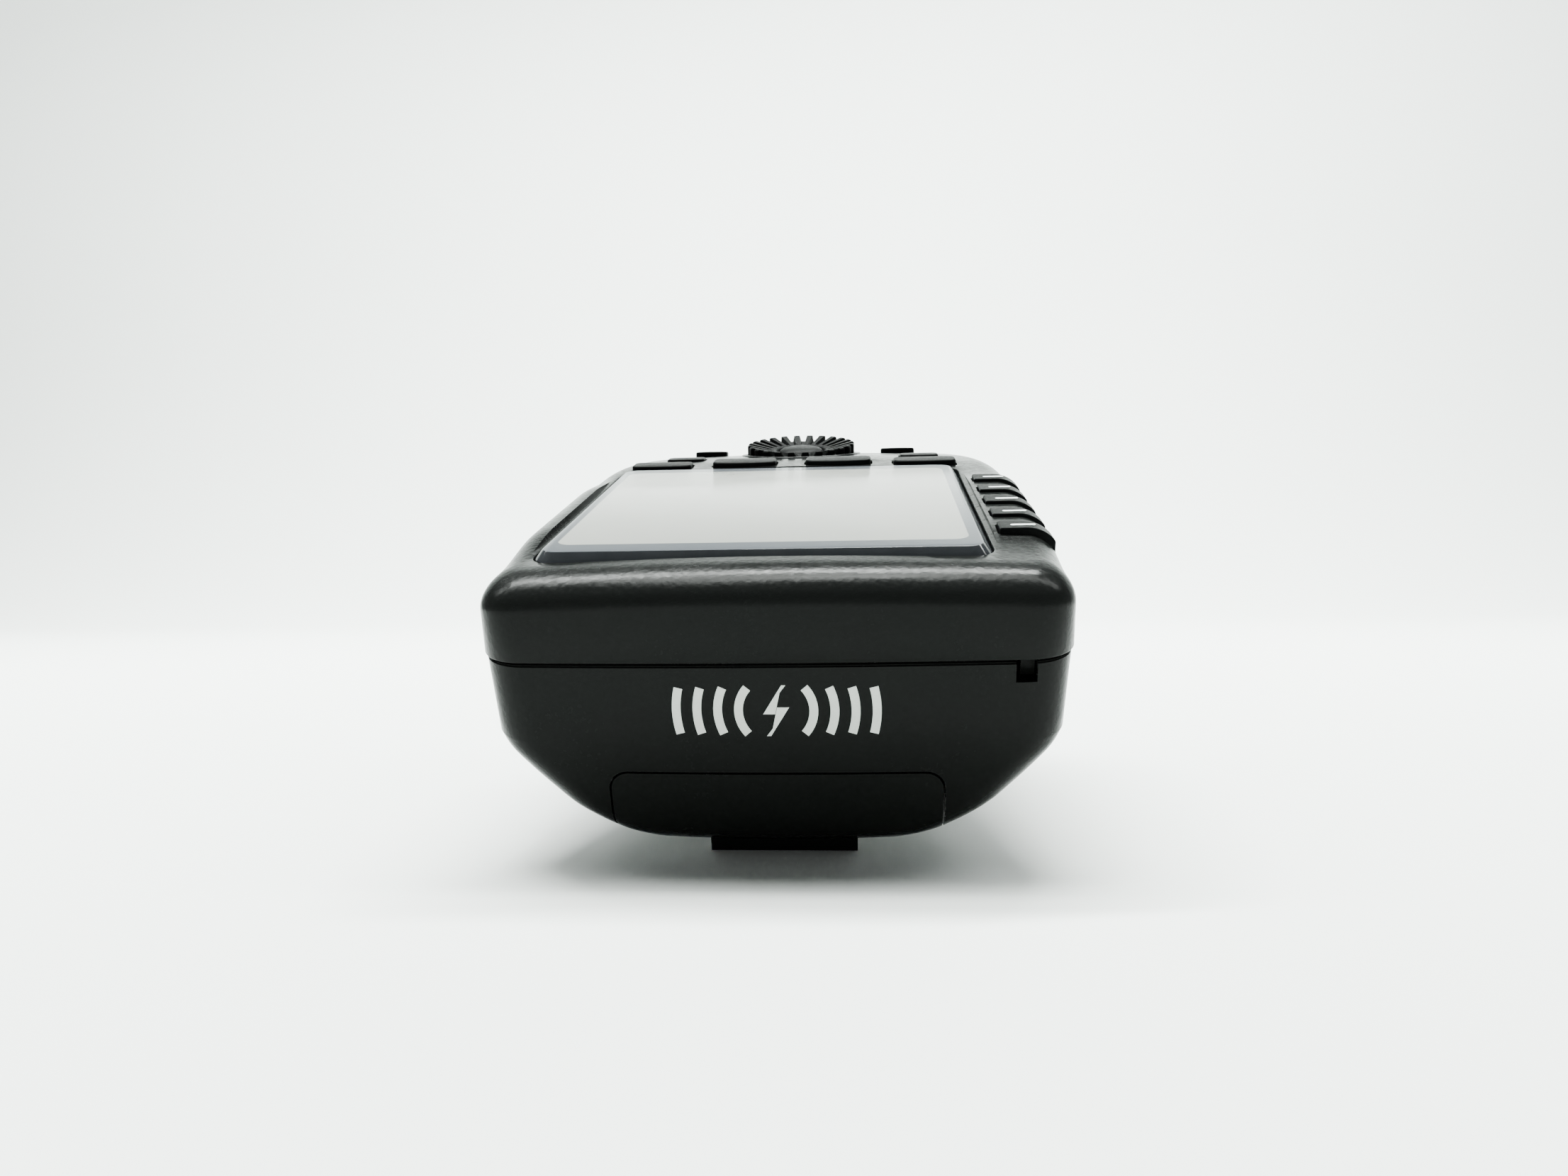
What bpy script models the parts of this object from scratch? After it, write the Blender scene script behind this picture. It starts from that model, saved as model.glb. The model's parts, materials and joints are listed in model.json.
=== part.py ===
"""A wireless flash trigger for a camera's hot shoe, as an assembly of separate pieces.

The body is laid out in its own frame in millimetres: X to the right, Y from the nose to the dial, and Z up
from the plane of the screen window. The stance empty then tips the whole object nose down, the way it rests
on a table, on its battery lid's grip bar and on the front edge of its shoe plate.
"""

import math

import bmesh
import bpy
from mathutils import Matrix, Vector

MM = 0.001
GAP = 0.3

# Body outline, seen from above
HALF_WIDTH = 29.0
BODY_LENGTH = 88.0
NOSE_BOW = 0.5
PLAN_CORNER = 5.0
ARCH_START = 50.0
ARCH_POWER_X = 2.5
ARCH_POWER_Y = 2.23
NOSE_STEPS = 3
CORNER_STEPS = 5
SIDE_STEPS = 12
ARCH_STEPS = 9

# Upper casing
WALL = 1.8
TOP_CENTRE = -0.12
CROWN_DROP = 0.85
NOSE_DROP = 0.23
NOSE_EASE = (8.0, 20.0)
FAR_EASE = (40.0, 52.0)
FALL_START = 56.0
FALL_END = 74.0
FALL_RATE = 0.0047
SIDE_FILLET = 3.4
NOSE_FILLET_RUN = 6.0
NOSE_FILLET_HEIGHT = 3.1
FAR_FILLET_HEIGHT = 2.0
FILLET_STEPS = 5
TOP_CORNER = 2.0
UPPER_RIM = -8.7
REBATE_TOP = -6.6
REBATE_WALL = 0.8

# Lower casing
LOWER_RIM = -9.3
LIP_TOP = -7.0
LIP_INSET = 1.1
BOTTOM = -29.3
BOTTOM_CROWN = 0.9
BOTTOM_HALF = 17.4
RISE_START = 70.0
RISE_RATE = 0.015
# Rings of the lower casing: height, half width, nose face, far end, plan corner radius
LOWER_SECTION = (
    (LOWER_RIM, 28.75, 0.0, 87.75, 5.0),
    (-17.0, 28.25, 0.0, 87.2, 5.0),
    (-18.7, 27.5, 0.05, 86.5, 5.2),
    (-20.7, 26.0, 0.1, 85.5, 5.6),
    (-22.9, 24.1, 0.15, 84.2, 6.0),
    (-25.1, 22.0, 0.25, 82.6, 6.4),
    (-27.3, 19.0, 0.9, 80.4, 6.6),
    (-28.4, BOTTOM_HALF, 1.9, 78.6, 6.8),
)

# Screen window and what lies under it
GLASS_X = -1.54
GLASS_WIDTH = 46.3
GLASS_NEAR = 8.0
GLASS_LENGTH = 46.05
GLASS_CORNER = 2.5
GLASS_CHAMFER = 1.0
GLASS_THICK = 1.6
DISPLAY_WIDTH = 42.5
DISPLAY_NEAR = 11.6
DISPLAY_LENGTH = 39.4

# Keys
GROUP_KEY_FIRST = 16.6
GROUP_KEY_PITCH = 6.6
GROUP_KEY_HALF = 1.65
GROUP_KEY_INNER = 22.95
GROUP_KEY_OUTER = 28.7
GROUP_KEY_RAISE = 0.55
GROUP_KEY_FLOOR = -3.6
GROUP_STEM_END = -4.9
GROUP_SLOT_FLOOR = -4.25
FUNCTION_KEY_RAISE = 0.65
KEY_DEPTH = 3.6
KEY_BOTTOM = -4.7
FUNCTION_KEY_Y = 57.6
# Centre X, width, bulge of the near edge
FUNCTION_KEYS = ((-19.65, 8.5, 0.3), (-7.8, 9.0, 0.6), (5.5, 9.2, 0.6), (17.6, 8.7, 0.3))
# Centre X, centre Y, width, depth, height above the casing
CONTROL_KEYS = (
    (-17.25, 64.4, 5.6, 3.4, 0.45),
    (17.2, 64.4, 5.6, 3.4, 0.45),
    (-14.85, 75.2, 5.0, 3.4, 0.85),
    (14.4, 75.2, 5.2, 3.4, 0.85),
)

# Dial
DIAL_CENTRE = (-0.5, 71.5)
DIAL_RADIUS = 8.25
DIAL_TOOTH = 0.55
DIAL_TEETH = 24
DIAL_TOP = 0.4
DIAL_BOTTOM = -3.9
DIAL_BORE = 3.7
DIAL_DISH = 5.6
DIAL_DISH_FLOOR = -0.5

# Screw posts: centre X and Y, and the height at which the upper post ends in the casing's top
SCREW_POSTS = ((-20.0, 4.8, -2.0), (20.0, 4.8, -2.0), (-5.5, 80.3, -4.1), (5.5, 80.3, -4.1))
POST_MEET = -11.05

# Battery bay
CELL_X = 7.6
CELL_RADIUS = 7.25
CELL_Z = -19.7
CELL_BODY = 49.5
CELL_NUB = 1.0
BAY_Y = (4.3, 61.3)
LID_HALF = 16.3
LID_TOP = -20.4
LID_FAR = 47.0
LID_CORNER = 1.75
BAR_X = (-7.0, 7.9)
BAR_Y = (2.6, 5.0)
BAR_BOTTOM = -30.1

# Hot-shoe foot, in a frame of its own at the centre of the plate's underside
FOOT_Y = 59.0
FOOT_Z = -42.7
FOOT_TILT = math.radians(7.0)
PLATE_HALF_X = 9.3
PLATE_HALF_Y = 9.0
PLATE_THICK = 2.0
NECK_RADIUS = 6.1
NECK_TOP = 10.3
CLAMP_Z = (5.0, 6.0)
RING_Z = (6.3, 10.3)
RING_RADIUS = 11.5
BASE_BOTTOM = 10.6
BASE_HALF_X = 12.5
BASE_HALF_Y = 11.5
# Contact pins: X, Y, radius
CONTACT_PINS = ((0.0, 0.0, 1.1), (-3.6, 3.6, 0.75), (3.6, 3.6, 0.75), (-3.6, -2.4, 0.75), (3.6, -2.4, 0.75))
LOCK_PIN_Y = -6.6
PLATE_SCREWS = ((-7.2, -6.4), (7.2, -6.4), (-7.2, 6.4), (7.2, 6.4))

# Openings in the sides
SWITCH_Y = 28.5
SWITCH_Z = -13.0
USB_Y = 30.0
USB_Z = -12.85
JACK_Y = 44.0
JACK_Z = -13.9
NOTCH_X = (22.9, 24.9)
NOTCH_BOTTOM = -11.1


def clear_scene():
    for item in list(bpy.data.objects):
        bpy.data.objects.remove(item, do_unlink=True)


def new_collection(name):
    collection = bpy.data.collections.new(name)
    bpy.context.scene.collection.children.link(collection)
    return collection


def new_material(name, colour, roughness, metallic=0.0):
    material = bpy.data.materials.new(name)
    material.use_nodes = True
    shader = material.node_tree.nodes["Principled BSDF"]
    shader.inputs["Base Color"].default_value = (*colour, 1.0)
    shader.inputs["Roughness"].default_value = roughness
    shader.inputs["Metallic"].default_value = metallic
    return material


def new_empty(name, parent=None, location=(0, 0, 0), tilt=0.0):
    empty = bpy.data.objects.new(name, None)
    empty.location = [value * MM for value in location]
    empty.rotation_euler.x = tilt
    empty.parent = parent
    PARTS.objects.link(empty)
    return empty


def finish(form, name, collection, parent, origin):
    """Turns a bmesh drawn in millimetres into an object whose own origin is at the given point."""
    bmesh.ops.translate(form, verts=form.verts, vec=-Vector(origin))
    bmesh.ops.scale(form, verts=form.verts, vec=(MM, MM, MM))
    bmesh.ops.recalc_face_normals(form, faces=form.faces)
    mesh = bpy.data.meshes.new(name)
    form.to_mesh(mesh)
    form.free()
    item = bpy.data.objects.new(name, mesh)
    item.location = [value * MM for value in origin]
    item.parent = parent
    collection.objects.link(item)
    return item


def add_part(name, form, material, parent=None, origin=(0, 0, 0), smooth=False):
    item = finish(form, name, PARTS, parent or STANCE, origin)
    item.data.materials.append(material)
    if smooth:
        item.data.shade_smooth()
        item.data.set_sharp_from_angle(angle=math.radians(35))
    return item


def add_cutter(name, form, parent=None, origin=(0, 0, 0)):
    item = finish(form, name, CUTTERS, parent or STANCE, origin)
    item.hide_render = True
    item.display_type = "WIRE"
    return item


def boolean(item, cutter, operation="DIFFERENCE"):
    modifier = item.modifiers.new(cutter.name, "BOOLEAN")
    modifier.object = cutter
    modifier.operation = operation
    modifier.solver = "EXACT"


def box(x_span, y_span, z_span, form=None):
    form = form or bmesh.new()
    made = bmesh.ops.create_cube(form, size=1.0)["verts"]
    size = [span[1] - span[0] for span in (x_span, y_span, z_span)]
    centre = [(span[0] + span[1]) / 2 for span in (x_span, y_span, z_span)]
    bmesh.ops.scale(form, verts=made, vec=size)
    bmesh.ops.translate(form, verts=made, vec=centre)
    return form


def cylinder(radius, z_span, centre=(0.0, 0.0), sides=20, form=None, tip_radius=None):
    """A round piece along Z. The tip radius, where given, is the one at the upper end."""
    form = form or bmesh.new()
    height = z_span[1] - z_span[0]
    upper = radius if tip_radius is None else tip_radius
    made = bmesh.ops.create_cone(
        form, cap_ends=True, segments=sides, radius1=radius, radius2=upper, depth=height
    )["verts"]
    bmesh.ops.translate(form, verts=made, vec=(*centre, (z_span[0] + z_span[1]) / 2))
    return form


def prism(outline, z_span, form=None):
    """A flat outline drawn up from one height to another."""
    form = form or bmesh.new()
    verts = [form.verts.new((x, y, z_span[0])) for x, y in outline]
    face = form.faces.new(verts)
    drawn = bmesh.ops.extrude_face_region(form, geom=[face])["geom"]
    upper = [part for part in drawn if isinstance(part, bmesh.types.BMVert)]
    bmesh.ops.translate(form, verts=upper, vec=(0, 0, z_span[1] - z_span[0]))
    return form


def side_prism(outline, y_span):
    """An outline drawn in X and Z, and drawn out along Y."""
    form = prism([(x, -z) for x, z in outline], y_span)
    bmesh.ops.rotate(form, verts=form.verts, matrix=Matrix.Rotation(math.radians(-90), 3, "X"))
    return form


def rounded_rectangle(x_span, y_span, radius, steps=4):
    outline = []
    corners = (
        (x_span[1] - radius, y_span[0] + radius, -90),
        (x_span[1] - radius, y_span[1] - radius, 0),
        (x_span[0] + radius, y_span[1] - radius, 90),
        (x_span[0] + radius, y_span[0] + radius, 180),
    )
    for x, y, start in corners:
        for step in range(steps + 1):
            angle = math.radians(start + 90 * step / steps)
            outline.append((x + radius * math.cos(angle), y + radius * math.sin(angle)))
    return outline


def toothed_circle(radius, depth, teeth, centre=(0.0, 0.0)):
    outline = []
    for tooth in range(teeth):
        for share, reach in ((0.0, radius - depth), (0.25, radius), (0.6, radius), (0.85, radius - depth)):
            angle = 2 * math.pi * (tooth + share) / teeth
            outline.append((centre[0] + reach * math.cos(angle), centre[1] + reach * math.sin(angle)))
    return outline


def add_turned(name, profile, material, parent, location, steps=24, tilt=0.0):
    """A profile of radius and height, from the top down, turned about its own Z."""
    form = bmesh.new()
    verts = [form.verts.new((radius * MM, 0, height * MM)) for radius, height in profile]
    for upper, lower in zip(verts, verts[1:]):
        form.edges.new((upper, lower))
    mesh = bpy.data.meshes.new(name)
    form.to_mesh(mesh)
    form.free()
    mesh.materials.append(material)
    item = bpy.data.objects.new(name, mesh)
    item.location = [value * MM for value in location]
    item.rotation_euler.x = tilt
    item.parent = parent
    PARTS.objects.link(item)
    screw = item.modifiers.new("turn", "SCREW")
    screw.steps = steps
    screw.render_steps = steps
    screw.use_merge_vertices = True
    screw.merge_threshold = 0.00001
    return item


# ---------------------------------------------------------------- casings


def ease(value, start, end):
    """Goes smoothly from 0 at the start to 1 at the end."""
    share = min(1.0, max(0.0, (value - start) / (end - start)))
    return share * share * (3 - 2 * share)


def top_height(x, y):
    """Height of the casing's top: level with the screen, crowned at both ends and falling at the dial."""
    nose = 1.0 - ease(y, *NOSE_EASE)
    crown = CROWN_DROP * (x / HALF_WIDTH) ** 2 * (nose + ease(y, *FAR_EASE))
    past = max(0.0, y - FALL_START)
    curved = min(past, FALL_END - FALL_START)
    slope = 2 * FALL_RATE * (FALL_END - FALL_START)
    fall = FALL_RATE * curved**2 + slope * (past - curved)
    return TOP_CENTRE - NOSE_DROP * nose - crown - fall


def top_slope(y):
    """Angle by which the top falls at this distance from the nose."""
    past = min(max(0.0, y - FALL_START), FALL_END - FALL_START)
    return math.atan(2 * FALL_RATE * past)


def bottom_height(x):
    return BOTTOM + BOTTOM_CROWN * (x / BOTTOM_HALF) ** 2


def far_rise(y):
    """How far the underside curves up under the dial's end."""
    return RISE_RATE * max(0.0, y - RISE_START) ** 2


def plan_ring(width, near, far, corner):
    """The outline from the nose's middle round by +X, and each point's share of the nose and far end."""
    half = []
    flat = width - corner
    corner_y = near + NOSE_BOW + corner
    for step in range(NOSE_STEPS):
        share = step / NOSE_STEPS
        half.append((flat * share, near + NOSE_BOW * share**2))
    for step in range(CORNER_STEPS):
        angle = math.pi / 2 * step / CORNER_STEPS
        half.append((flat + corner * math.sin(angle), corner_y - corner * math.cos(angle)))
    for step in range(SIDE_STEPS):
        half.append((width, corner_y + (ARCH_START - corner_y) * step / SIDE_STEPS))
    for step in range(ARCH_STEPS + 1):
        angle = math.pi / 2 * step / ARCH_STEPS
        x = width * max(0.0, math.cos(angle)) ** (2 / ARCH_POWER_X)
        y = ARCH_START + (far - ARCH_START) * math.sin(angle) ** (2 / ARCH_POWER_Y)
        half.append((0.0 if step == ARCH_STEPS else x, y))
    ring = half + [(-x, y) for x, y in reversed(half[1:-1])]
    noses = [min(1.0, max(0.0, (corner_y - y) / corner)) for x, y in ring]
    fars = [min(1.0, max(0.0, (y - ARCH_START) / (far - ARCH_START))) for x, y in ring]
    return ring, noses, fars


def top_rings(wall):
    """Rings of the top, from where the side wall ends up over the edge and in to a narrow spine."""
    rings = []
    for step in range(FILLET_STEPS + 1):
        angle = math.pi / 2 * step / FILLET_STEPS
        run = (SIDE_FILLET - wall) * (1 - math.cos(angle))
        nose_run = (NOSE_FILLET_RUN - wall) * (1 - math.cos(angle))
        corner = PLAN_CORNER - wall * 0.5 + (TOP_CORNER - PLAN_CORNER) * (1 - math.cos(angle))
        plan = plan_ring(HALF_WIDTH - wall - run, wall + nose_run, BODY_LENGTH - wall - run, corner)
        ring = []
        for (x, y), nose, far in zip(*plan):
            height = SIDE_FILLET + (NOSE_FILLET_HEIGHT - SIDE_FILLET) * nose
            height += (FAR_FILLET_HEIGHT - SIDE_FILLET) * far
            ring.append((x, y, top_height(x, y) - wall - max(0.4, height - wall) * (1 - math.sin(angle))))
        rings.append(ring)
    for width, near, far in ((17.0, 12.0, 80.0), (9.0, 17.0, 76.0), (2.5, 22.0, 72.0)):
        ring, _, _ = plan_ring(width, near, far, 1.5)
        rings.append([(x, y, top_height(x, y) - wall) for x, y in ring])
    return rings


def level_ring(width, near, far, corner, height):
    ring, _, _ = plan_ring(width, near, far, corner)
    return [(x, y, height) for x, y in ring]


def rim_ring(inset, height):
    corner = PLAN_CORNER - inset * 0.5
    return level_ring(HALF_WIDTH - inset, inset, BODY_LENGTH - inset, corner, height)


def lower_rings(wall):
    """Rings of the lower casing's surface, from the rim down to a narrow spine in its underside."""
    rings = []
    last = len(LOWER_SECTION) - 1
    for index, (height, width, near, far, corner) in enumerate(LOWER_SECTION):
        above = LOWER_SECTION[max(0, index - 1)]
        below = LOWER_SECTION[min(last, index + 1)]
        across, down = below[1] - above[1], below[0] - above[0]
        length = math.hypot(across, down)
        inward, upward = wall * -down / length, wall * -across / length
        plan = plan_ring(width - inward, near + wall, far - wall, corner)
        depth = (LOWER_RIM - height) / (LOWER_RIM - BOTTOM)
        ring = []
        for x, y in plan[0]:
            ring.append((x, y, height + upward + far_rise(y) * depth))
        rings.append(ring)
    for width, near, far in ((11.0, 4.0 + wall, 73.0), (3.0, 12.0, 66.0)):
        ring, _, _ = plan_ring(width, near, far, 2.0)
        rings.append([(x, y, bottom_height(x) + wall + far_rise(y)) for x, y in ring])
    return rings


def loft(rings):
    """A closed body through rings of equal count, whose first and last ring are capped across the middle."""
    form = bmesh.new()
    rows = [[form.verts.new(point) for point in ring] for ring in rings]
    count = len(rows[0])
    for row, following in zip(rows, rows[1:]):
        for index in range(count):
            after = (index + 1) % count
            form.faces.new((row[index], row[after], following[after], following[index]))
    for row in (rows[0], rows[-1]):
        for index in range(count // 2):
            corners = [row[index], row[index + 1], row[-index - 1], row[-index]]
            form.faces.new(list(dict.fromkeys(corners)))
    return form


def upper_casing_form():
    outer = [rim_ring(0.0, UPPER_RIM)] + top_rings(0.0)
    inner = [
        rim_ring(REBATE_WALL, UPPER_RIM),
        rim_ring(REBATE_WALL, REBATE_TOP),
        rim_ring(WALL, REBATE_TOP),
    ] + top_rings(WALL)
    return loft(list(reversed(inner)) + outer)


def lower_casing_form():
    lip = [rim_ring(LIP_INSET, LOWER_RIM), rim_ring(LIP_INSET, LIP_TOP), rim_ring(WALL, LIP_TOP)]
    return loft(list(reversed(lower_rings(0.0))) + lip + lower_rings(WALL))


def add_upper_casing():
    shell = add_part("upper_casing", upper_casing_form(), BLACK, smooth=True)
    posts = bmesh.new()
    holes = bmesh.new()
    for x, y, top in SCREW_POSTS:
        cylinder(2.2, (POST_MEET + GAP / 2, top), (x, y), 12, posts)
        cylinder(1.3, (POST_MEET - 1.0, top - 2.0), (x, y), 10, holes)
    boolean(shell, add_cutter("upper_posts", posts), "UNION")
    boolean(shell, add_cutter("upper_post_holes", holes))
    window = rounded_rectangle(
        (GLASS_X - GLASS_WIDTH / 2 - GAP, GLASS_X + GLASS_WIDTH / 2 + GAP),
        (GLASS_NEAR - GAP, GLASS_NEAR + GLASS_LENGTH + GAP),
        GLASS_CORNER + GAP,
    )
    openings = prism(window, (-5.0, 2.0))
    for index in range(5):
        middle = GROUP_KEY_FIRST + GROUP_KEY_PITCH * index
        reach = GROUP_KEY_HALF + GAP
        span = (middle - reach, middle + reach)
        box((GROUP_KEY_INNER - GAP, HALF_WIDTH + 1), span, (GROUP_SLOT_FLOOR, 2.0), openings)
    cylinder(DIAL_RADIUS + 0.4, (-7.0, 3.0), DIAL_CENTRE, 40, openings)
    boolean(shell, add_cutter("upper_openings", openings))
    for name, middle, outline, tilt, _ in rear_keys():
        hole = prism(grown(outline, GAP), (-5.0, 4.0))
        cutter = add_cutter(name + "_hole", hole)
        cutter.location = [value * MM for value in middle]
        cutter.rotation_euler.x = tilt
        boolean(shell, cutter)


def grown(outline, gap):
    """An outline about its own middle, made larger by a gap on each side."""
    reach_x = max(abs(x) for x, y in outline)
    reach_y = max(abs(y) for x, y in outline)
    return [(x * (1 + gap / reach_x), y * (1 + gap / reach_y)) for x, y in outline]


def add_lower_casing():
    shell = add_part("lower_casing", lower_casing_form(), BLACK, smooth=True)
    posts = bmesh.new()
    wells = bmesh.new()
    for x, y, _ in SCREW_POSTS:
        cylinder(3.0, (-22.0, POST_MEET - GAP / 2), (x, y), 14, posts)
        cylinder(2.2, (-31.0, -14.0), (x, y), 14, wells)
    boolean(shell, add_cutter("lower_posts", posts), "UNION")
    boolean(shell, add_cutter("lower_wells", wells))
    pilots = bmesh.new()
    for x, y, _ in SCREW_POSTS:
        cylinder(1.3, (-16.0, -10.0), (x, y), 10, pilots)
    boolean(shell, add_cutter("lower_pilots", pilots))
    boolean(shell, add_cutter("lid_opening", lid_block(GAP)))
    openings = box(NOTCH_X, (-2.0, 2.6), (NOTCH_BOTTOM, LIP_TOP + 1.0))
    switch_half_y, switch_half_z = 4.7, 1.7
    box(
        (-HALF_WIDTH - 1, -26.4),
        (SWITCH_Y - switch_half_y, SWITCH_Y + switch_half_y),
        (SWITCH_Z - switch_half_z, SWITCH_Z + switch_half_z),
        openings,
    )
    box((26.0, HALF_WIDTH + 1), (USB_Y - 4.8, USB_Y + 4.8), (USB_Z - 1.95, USB_Z + 1.95), openings)
    boolean(shell, add_cutter("side_openings", openings))
    boolean(shell, add_cutter("jack_opening", lying_cylinder(2.8, (24.0, 31.0))))


def lid_block(gap):
    outline = rounded_rectangle((-LID_HALF - gap, LID_HALF + gap), (-34.0, LID_TOP + gap), LID_CORNER + gap)
    return side_prism(outline, (-3.0, LID_FAR + gap))


def add_battery_lid():
    lid = add_part("battery_lid", lower_casing_form(), BLACK, smooth=True)
    boolean(lid, add_cutter("lid_block", lid_block(0.0)), "INTERSECT")
    boolean(lid, add_cutter("lid_bar", box(BAR_X, BAR_Y, (BAR_BOTTOM, -28.2))), "UNION")


# ---------------------------------------------------------------- screen


def add_screen():
    x_span = (GLASS_X - GLASS_WIDTH / 2, GLASS_X + GLASS_WIDTH / 2)
    y_span = (GLASS_NEAR, GLASS_NEAR + GLASS_LENGTH)
    form = prism(rounded_rectangle(x_span, y_span, GLASS_CORNER), (-GLASS_THICK, 0.0))
    top = [edge for edge in form.edges if all(vert.co.z > -0.01 for vert in edge.verts)]
    bmesh.ops.bevel(form, geom=top, offset=GLASS_CHAMFER, segments=1, affect="EDGES")
    add_part("screen_window", form, GLASS)

    frame_x = (x_span[0] + GAP, x_span[1] - GAP)
    frame_y = (y_span[0] + GAP, y_span[1] - GAP)
    frame = add_part("display_frame", prism(rounded_rectangle(frame_x, frame_y, 2.0), (-3.2, -1.9)), BLACK)
    view_x = (GLASS_X - DISPLAY_WIDTH / 2 - 0.5, GLASS_X + DISPLAY_WIDTH / 2 + 0.5)
    view_y = (DISPLAY_NEAR - 0.5, DISPLAY_NEAR + DISPLAY_LENGTH + 0.5)
    boolean(frame, add_cutter("display_view", box(view_x, view_y, (-4.0, -1.0))))
    panel_x = (view_x[0] + GAP, view_x[1] - GAP)
    panel_y = (view_y[0] + GAP, view_y[1] - GAP)
    add_part("display_panel", box(panel_x, panel_y, (-3.1, -1.9)), DISPLAY)
    add_part("display_backlight", box(frame_x, frame_y, (-5.6, -3.5)), WHITE)


# ---------------------------------------------------------------- keys and dial


def group_key_outline():
    """Section of a group key: its top follows the casing's edge, a little proud of it."""
    edge_z = top_height(HALF_WIDTH - SIDE_FILLET, GROUP_KEY_FIRST)
    centre = (HALF_WIDTH - SIDE_FILLET, edge_z - SIDE_FILLET)
    reach = SIDE_FILLET + GROUP_KEY_RAISE
    last = math.asin((GROUP_KEY_OUTER - centre[0]) / reach)
    outline = [(GROUP_KEY_INNER, GROUP_KEY_FLOOR), (GROUP_KEY_INNER, edge_z + GROUP_KEY_RAISE)]
    steps = 5
    for step in range(steps + 1):
        angle = last * step / steps
        outline.append((centre[0] + reach * math.sin(angle), centre[1] + reach * math.cos(angle)))
    outline += [
        (GROUP_KEY_OUTER, GROUP_KEY_FLOOR),
        (26.0, GROUP_KEY_FLOOR),
        (26.0, GROUP_STEM_END),
        (23.4, GROUP_STEM_END),
        (23.4, GROUP_KEY_FLOOR),
    ]
    return outline


def add_group_keys():
    for index in range(5):
        middle = GROUP_KEY_FIRST + GROUP_KEY_PITCH * index
        span = (middle - GROUP_KEY_HALF, middle + GROUP_KEY_HALF)
        origin = (25.0, middle, top_height(25.0, middle))
        add_part(f"group_key_{index + 1}", side_prism(group_key_outline(), span), KEY, origin=origin)


def bulged_outline(width, depth, bulge):
    """A key's outline about its middle, whose near edge bows towards the nose."""
    steps = 6
    outline = []
    for step in range(steps + 1):
        share = 2 * step / steps - 1
        outline.append((width / 2 * share, -depth / 2 - bulge * (1 - share**2)))
    return outline + [(width / 2, depth / 2), (-width / 2, depth / 2)]


def rear_keys():
    """Name, middle on the casing's top, outline, tilt and height above the casing of each key by the dial."""
    keys = []
    for index, (x, width, bulge) in enumerate(FUNCTION_KEYS):
        outline = bulged_outline(width, KEY_DEPTH, bulge)
        keys.append((f"function_key_{index + 1}", x, FUNCTION_KEY_Y, outline, FUNCTION_KEY_RAISE))
    for index, (x, y, width, depth, raised) in enumerate(CONTROL_KEYS):
        outline = rounded_rectangle((-width / 2, width / 2), (-depth / 2, depth / 2), 1.0, 3)
        keys.append((f"control_key_{index + 1}", x, y, outline, raised))
    placed = []
    for name, x, y, outline, raised in keys:
        placed.append((name, (x, y, top_height(x, y)), outline, -top_slope(y), raised))
    return placed


def add_rear_keys():
    for name, middle, outline, tilt, raised in rear_keys():
        key = add_part(name, prism(outline, (KEY_BOTTOM - middle[2], raised)), KEY)
        key.location = [value * MM for value in middle]
        key.rotation_euler.x = tilt


def add_dial():
    origin = (*DIAL_CENTRE, DIAL_TOP)
    outline = toothed_circle(DIAL_RADIUS, DIAL_TOOTH, DIAL_TEETH, DIAL_CENTRE)
    dial = add_part("select_dial", prism(outline, (DIAL_BOTTOM, DIAL_TOP)), KEY, origin=origin)
    boolean(dial, add_cutter("dial_dish", cylinder(DIAL_DISH, (DIAL_DISH_FLOOR, 2.0), DIAL_CENTRE, 32)))
    boolean(dial, add_cutter("dial_bore", cylinder(DIAL_BORE, (-6.0, 2.0), DIAL_CENTRE, 28)))
    cap = ((0.0, -0.15), (2.6, -0.2), (3.3, -0.45), (3.4, -1.6))
    profile = (*cap, (1.6, -1.7), (1.6, DIAL_BOTTOM), (0.0, DIAL_BOTTOM))
    add_turned("set_button", profile, KEY, STANCE, (*DIAL_CENTRE, 0.0))
    x, y = DIAL_CENTRE
    add_part("dial_encoder", box((x - 5.5, x + 5.5), (y - 5.5, y + 5.5), (-6.4, -4.7)), METAL)


# ---------------------------------------------------------------- electronics


def tapered_board():
    return [(-20.6, 55.0), (20.6, 55.0), (20.6, 67.5), (14.5, 77.4), (-14.5, 77.4), (-20.6, 67.5)]


def add_electronics():
    x, y = DIAL_CENTRE
    mat = add_part("key_mat", prism(tapered_board(), (-6.2, -5.4)), RUBBER)
    boolean(mat, add_cutter("encoder_room", box((x - 6.0, x + 6.0), (y - 6.0, y + 6.0), (-7.0, -4.0))))
    add_part("key_board", prism(tapered_board(), (-7.9, -6.8)), BOARD)
    last_key = GROUP_KEY_FIRST + 4 * GROUP_KEY_PITCH
    add_part("group_key_mat", box((23.3, 26.6), (GROUP_KEY_FIRST - 3, last_key + 3), (-6.4, -5.6)), RUBBER)
    add_part("main_board", box((-24.0, 24.0), (10.5, 68.0), (-10.9, -9.7)), BOARD)
    add_part("radio_shield_can", box((-20.0, -4.0), (14.0, 34.0), (-9.4, -7.4)), METAL)
    add_part("processor", box((4.0, 14.0), (18.0, 28.0), (-9.4, -8.2)), KEY)
    add_part("buzzer", cylinder(4.5, (-9.4, -7.0), (12.0, 42.0), 24), KEY, smooth=True)

    add_usb_socket()
    add_sync_jack()
    add_power_switch()


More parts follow.
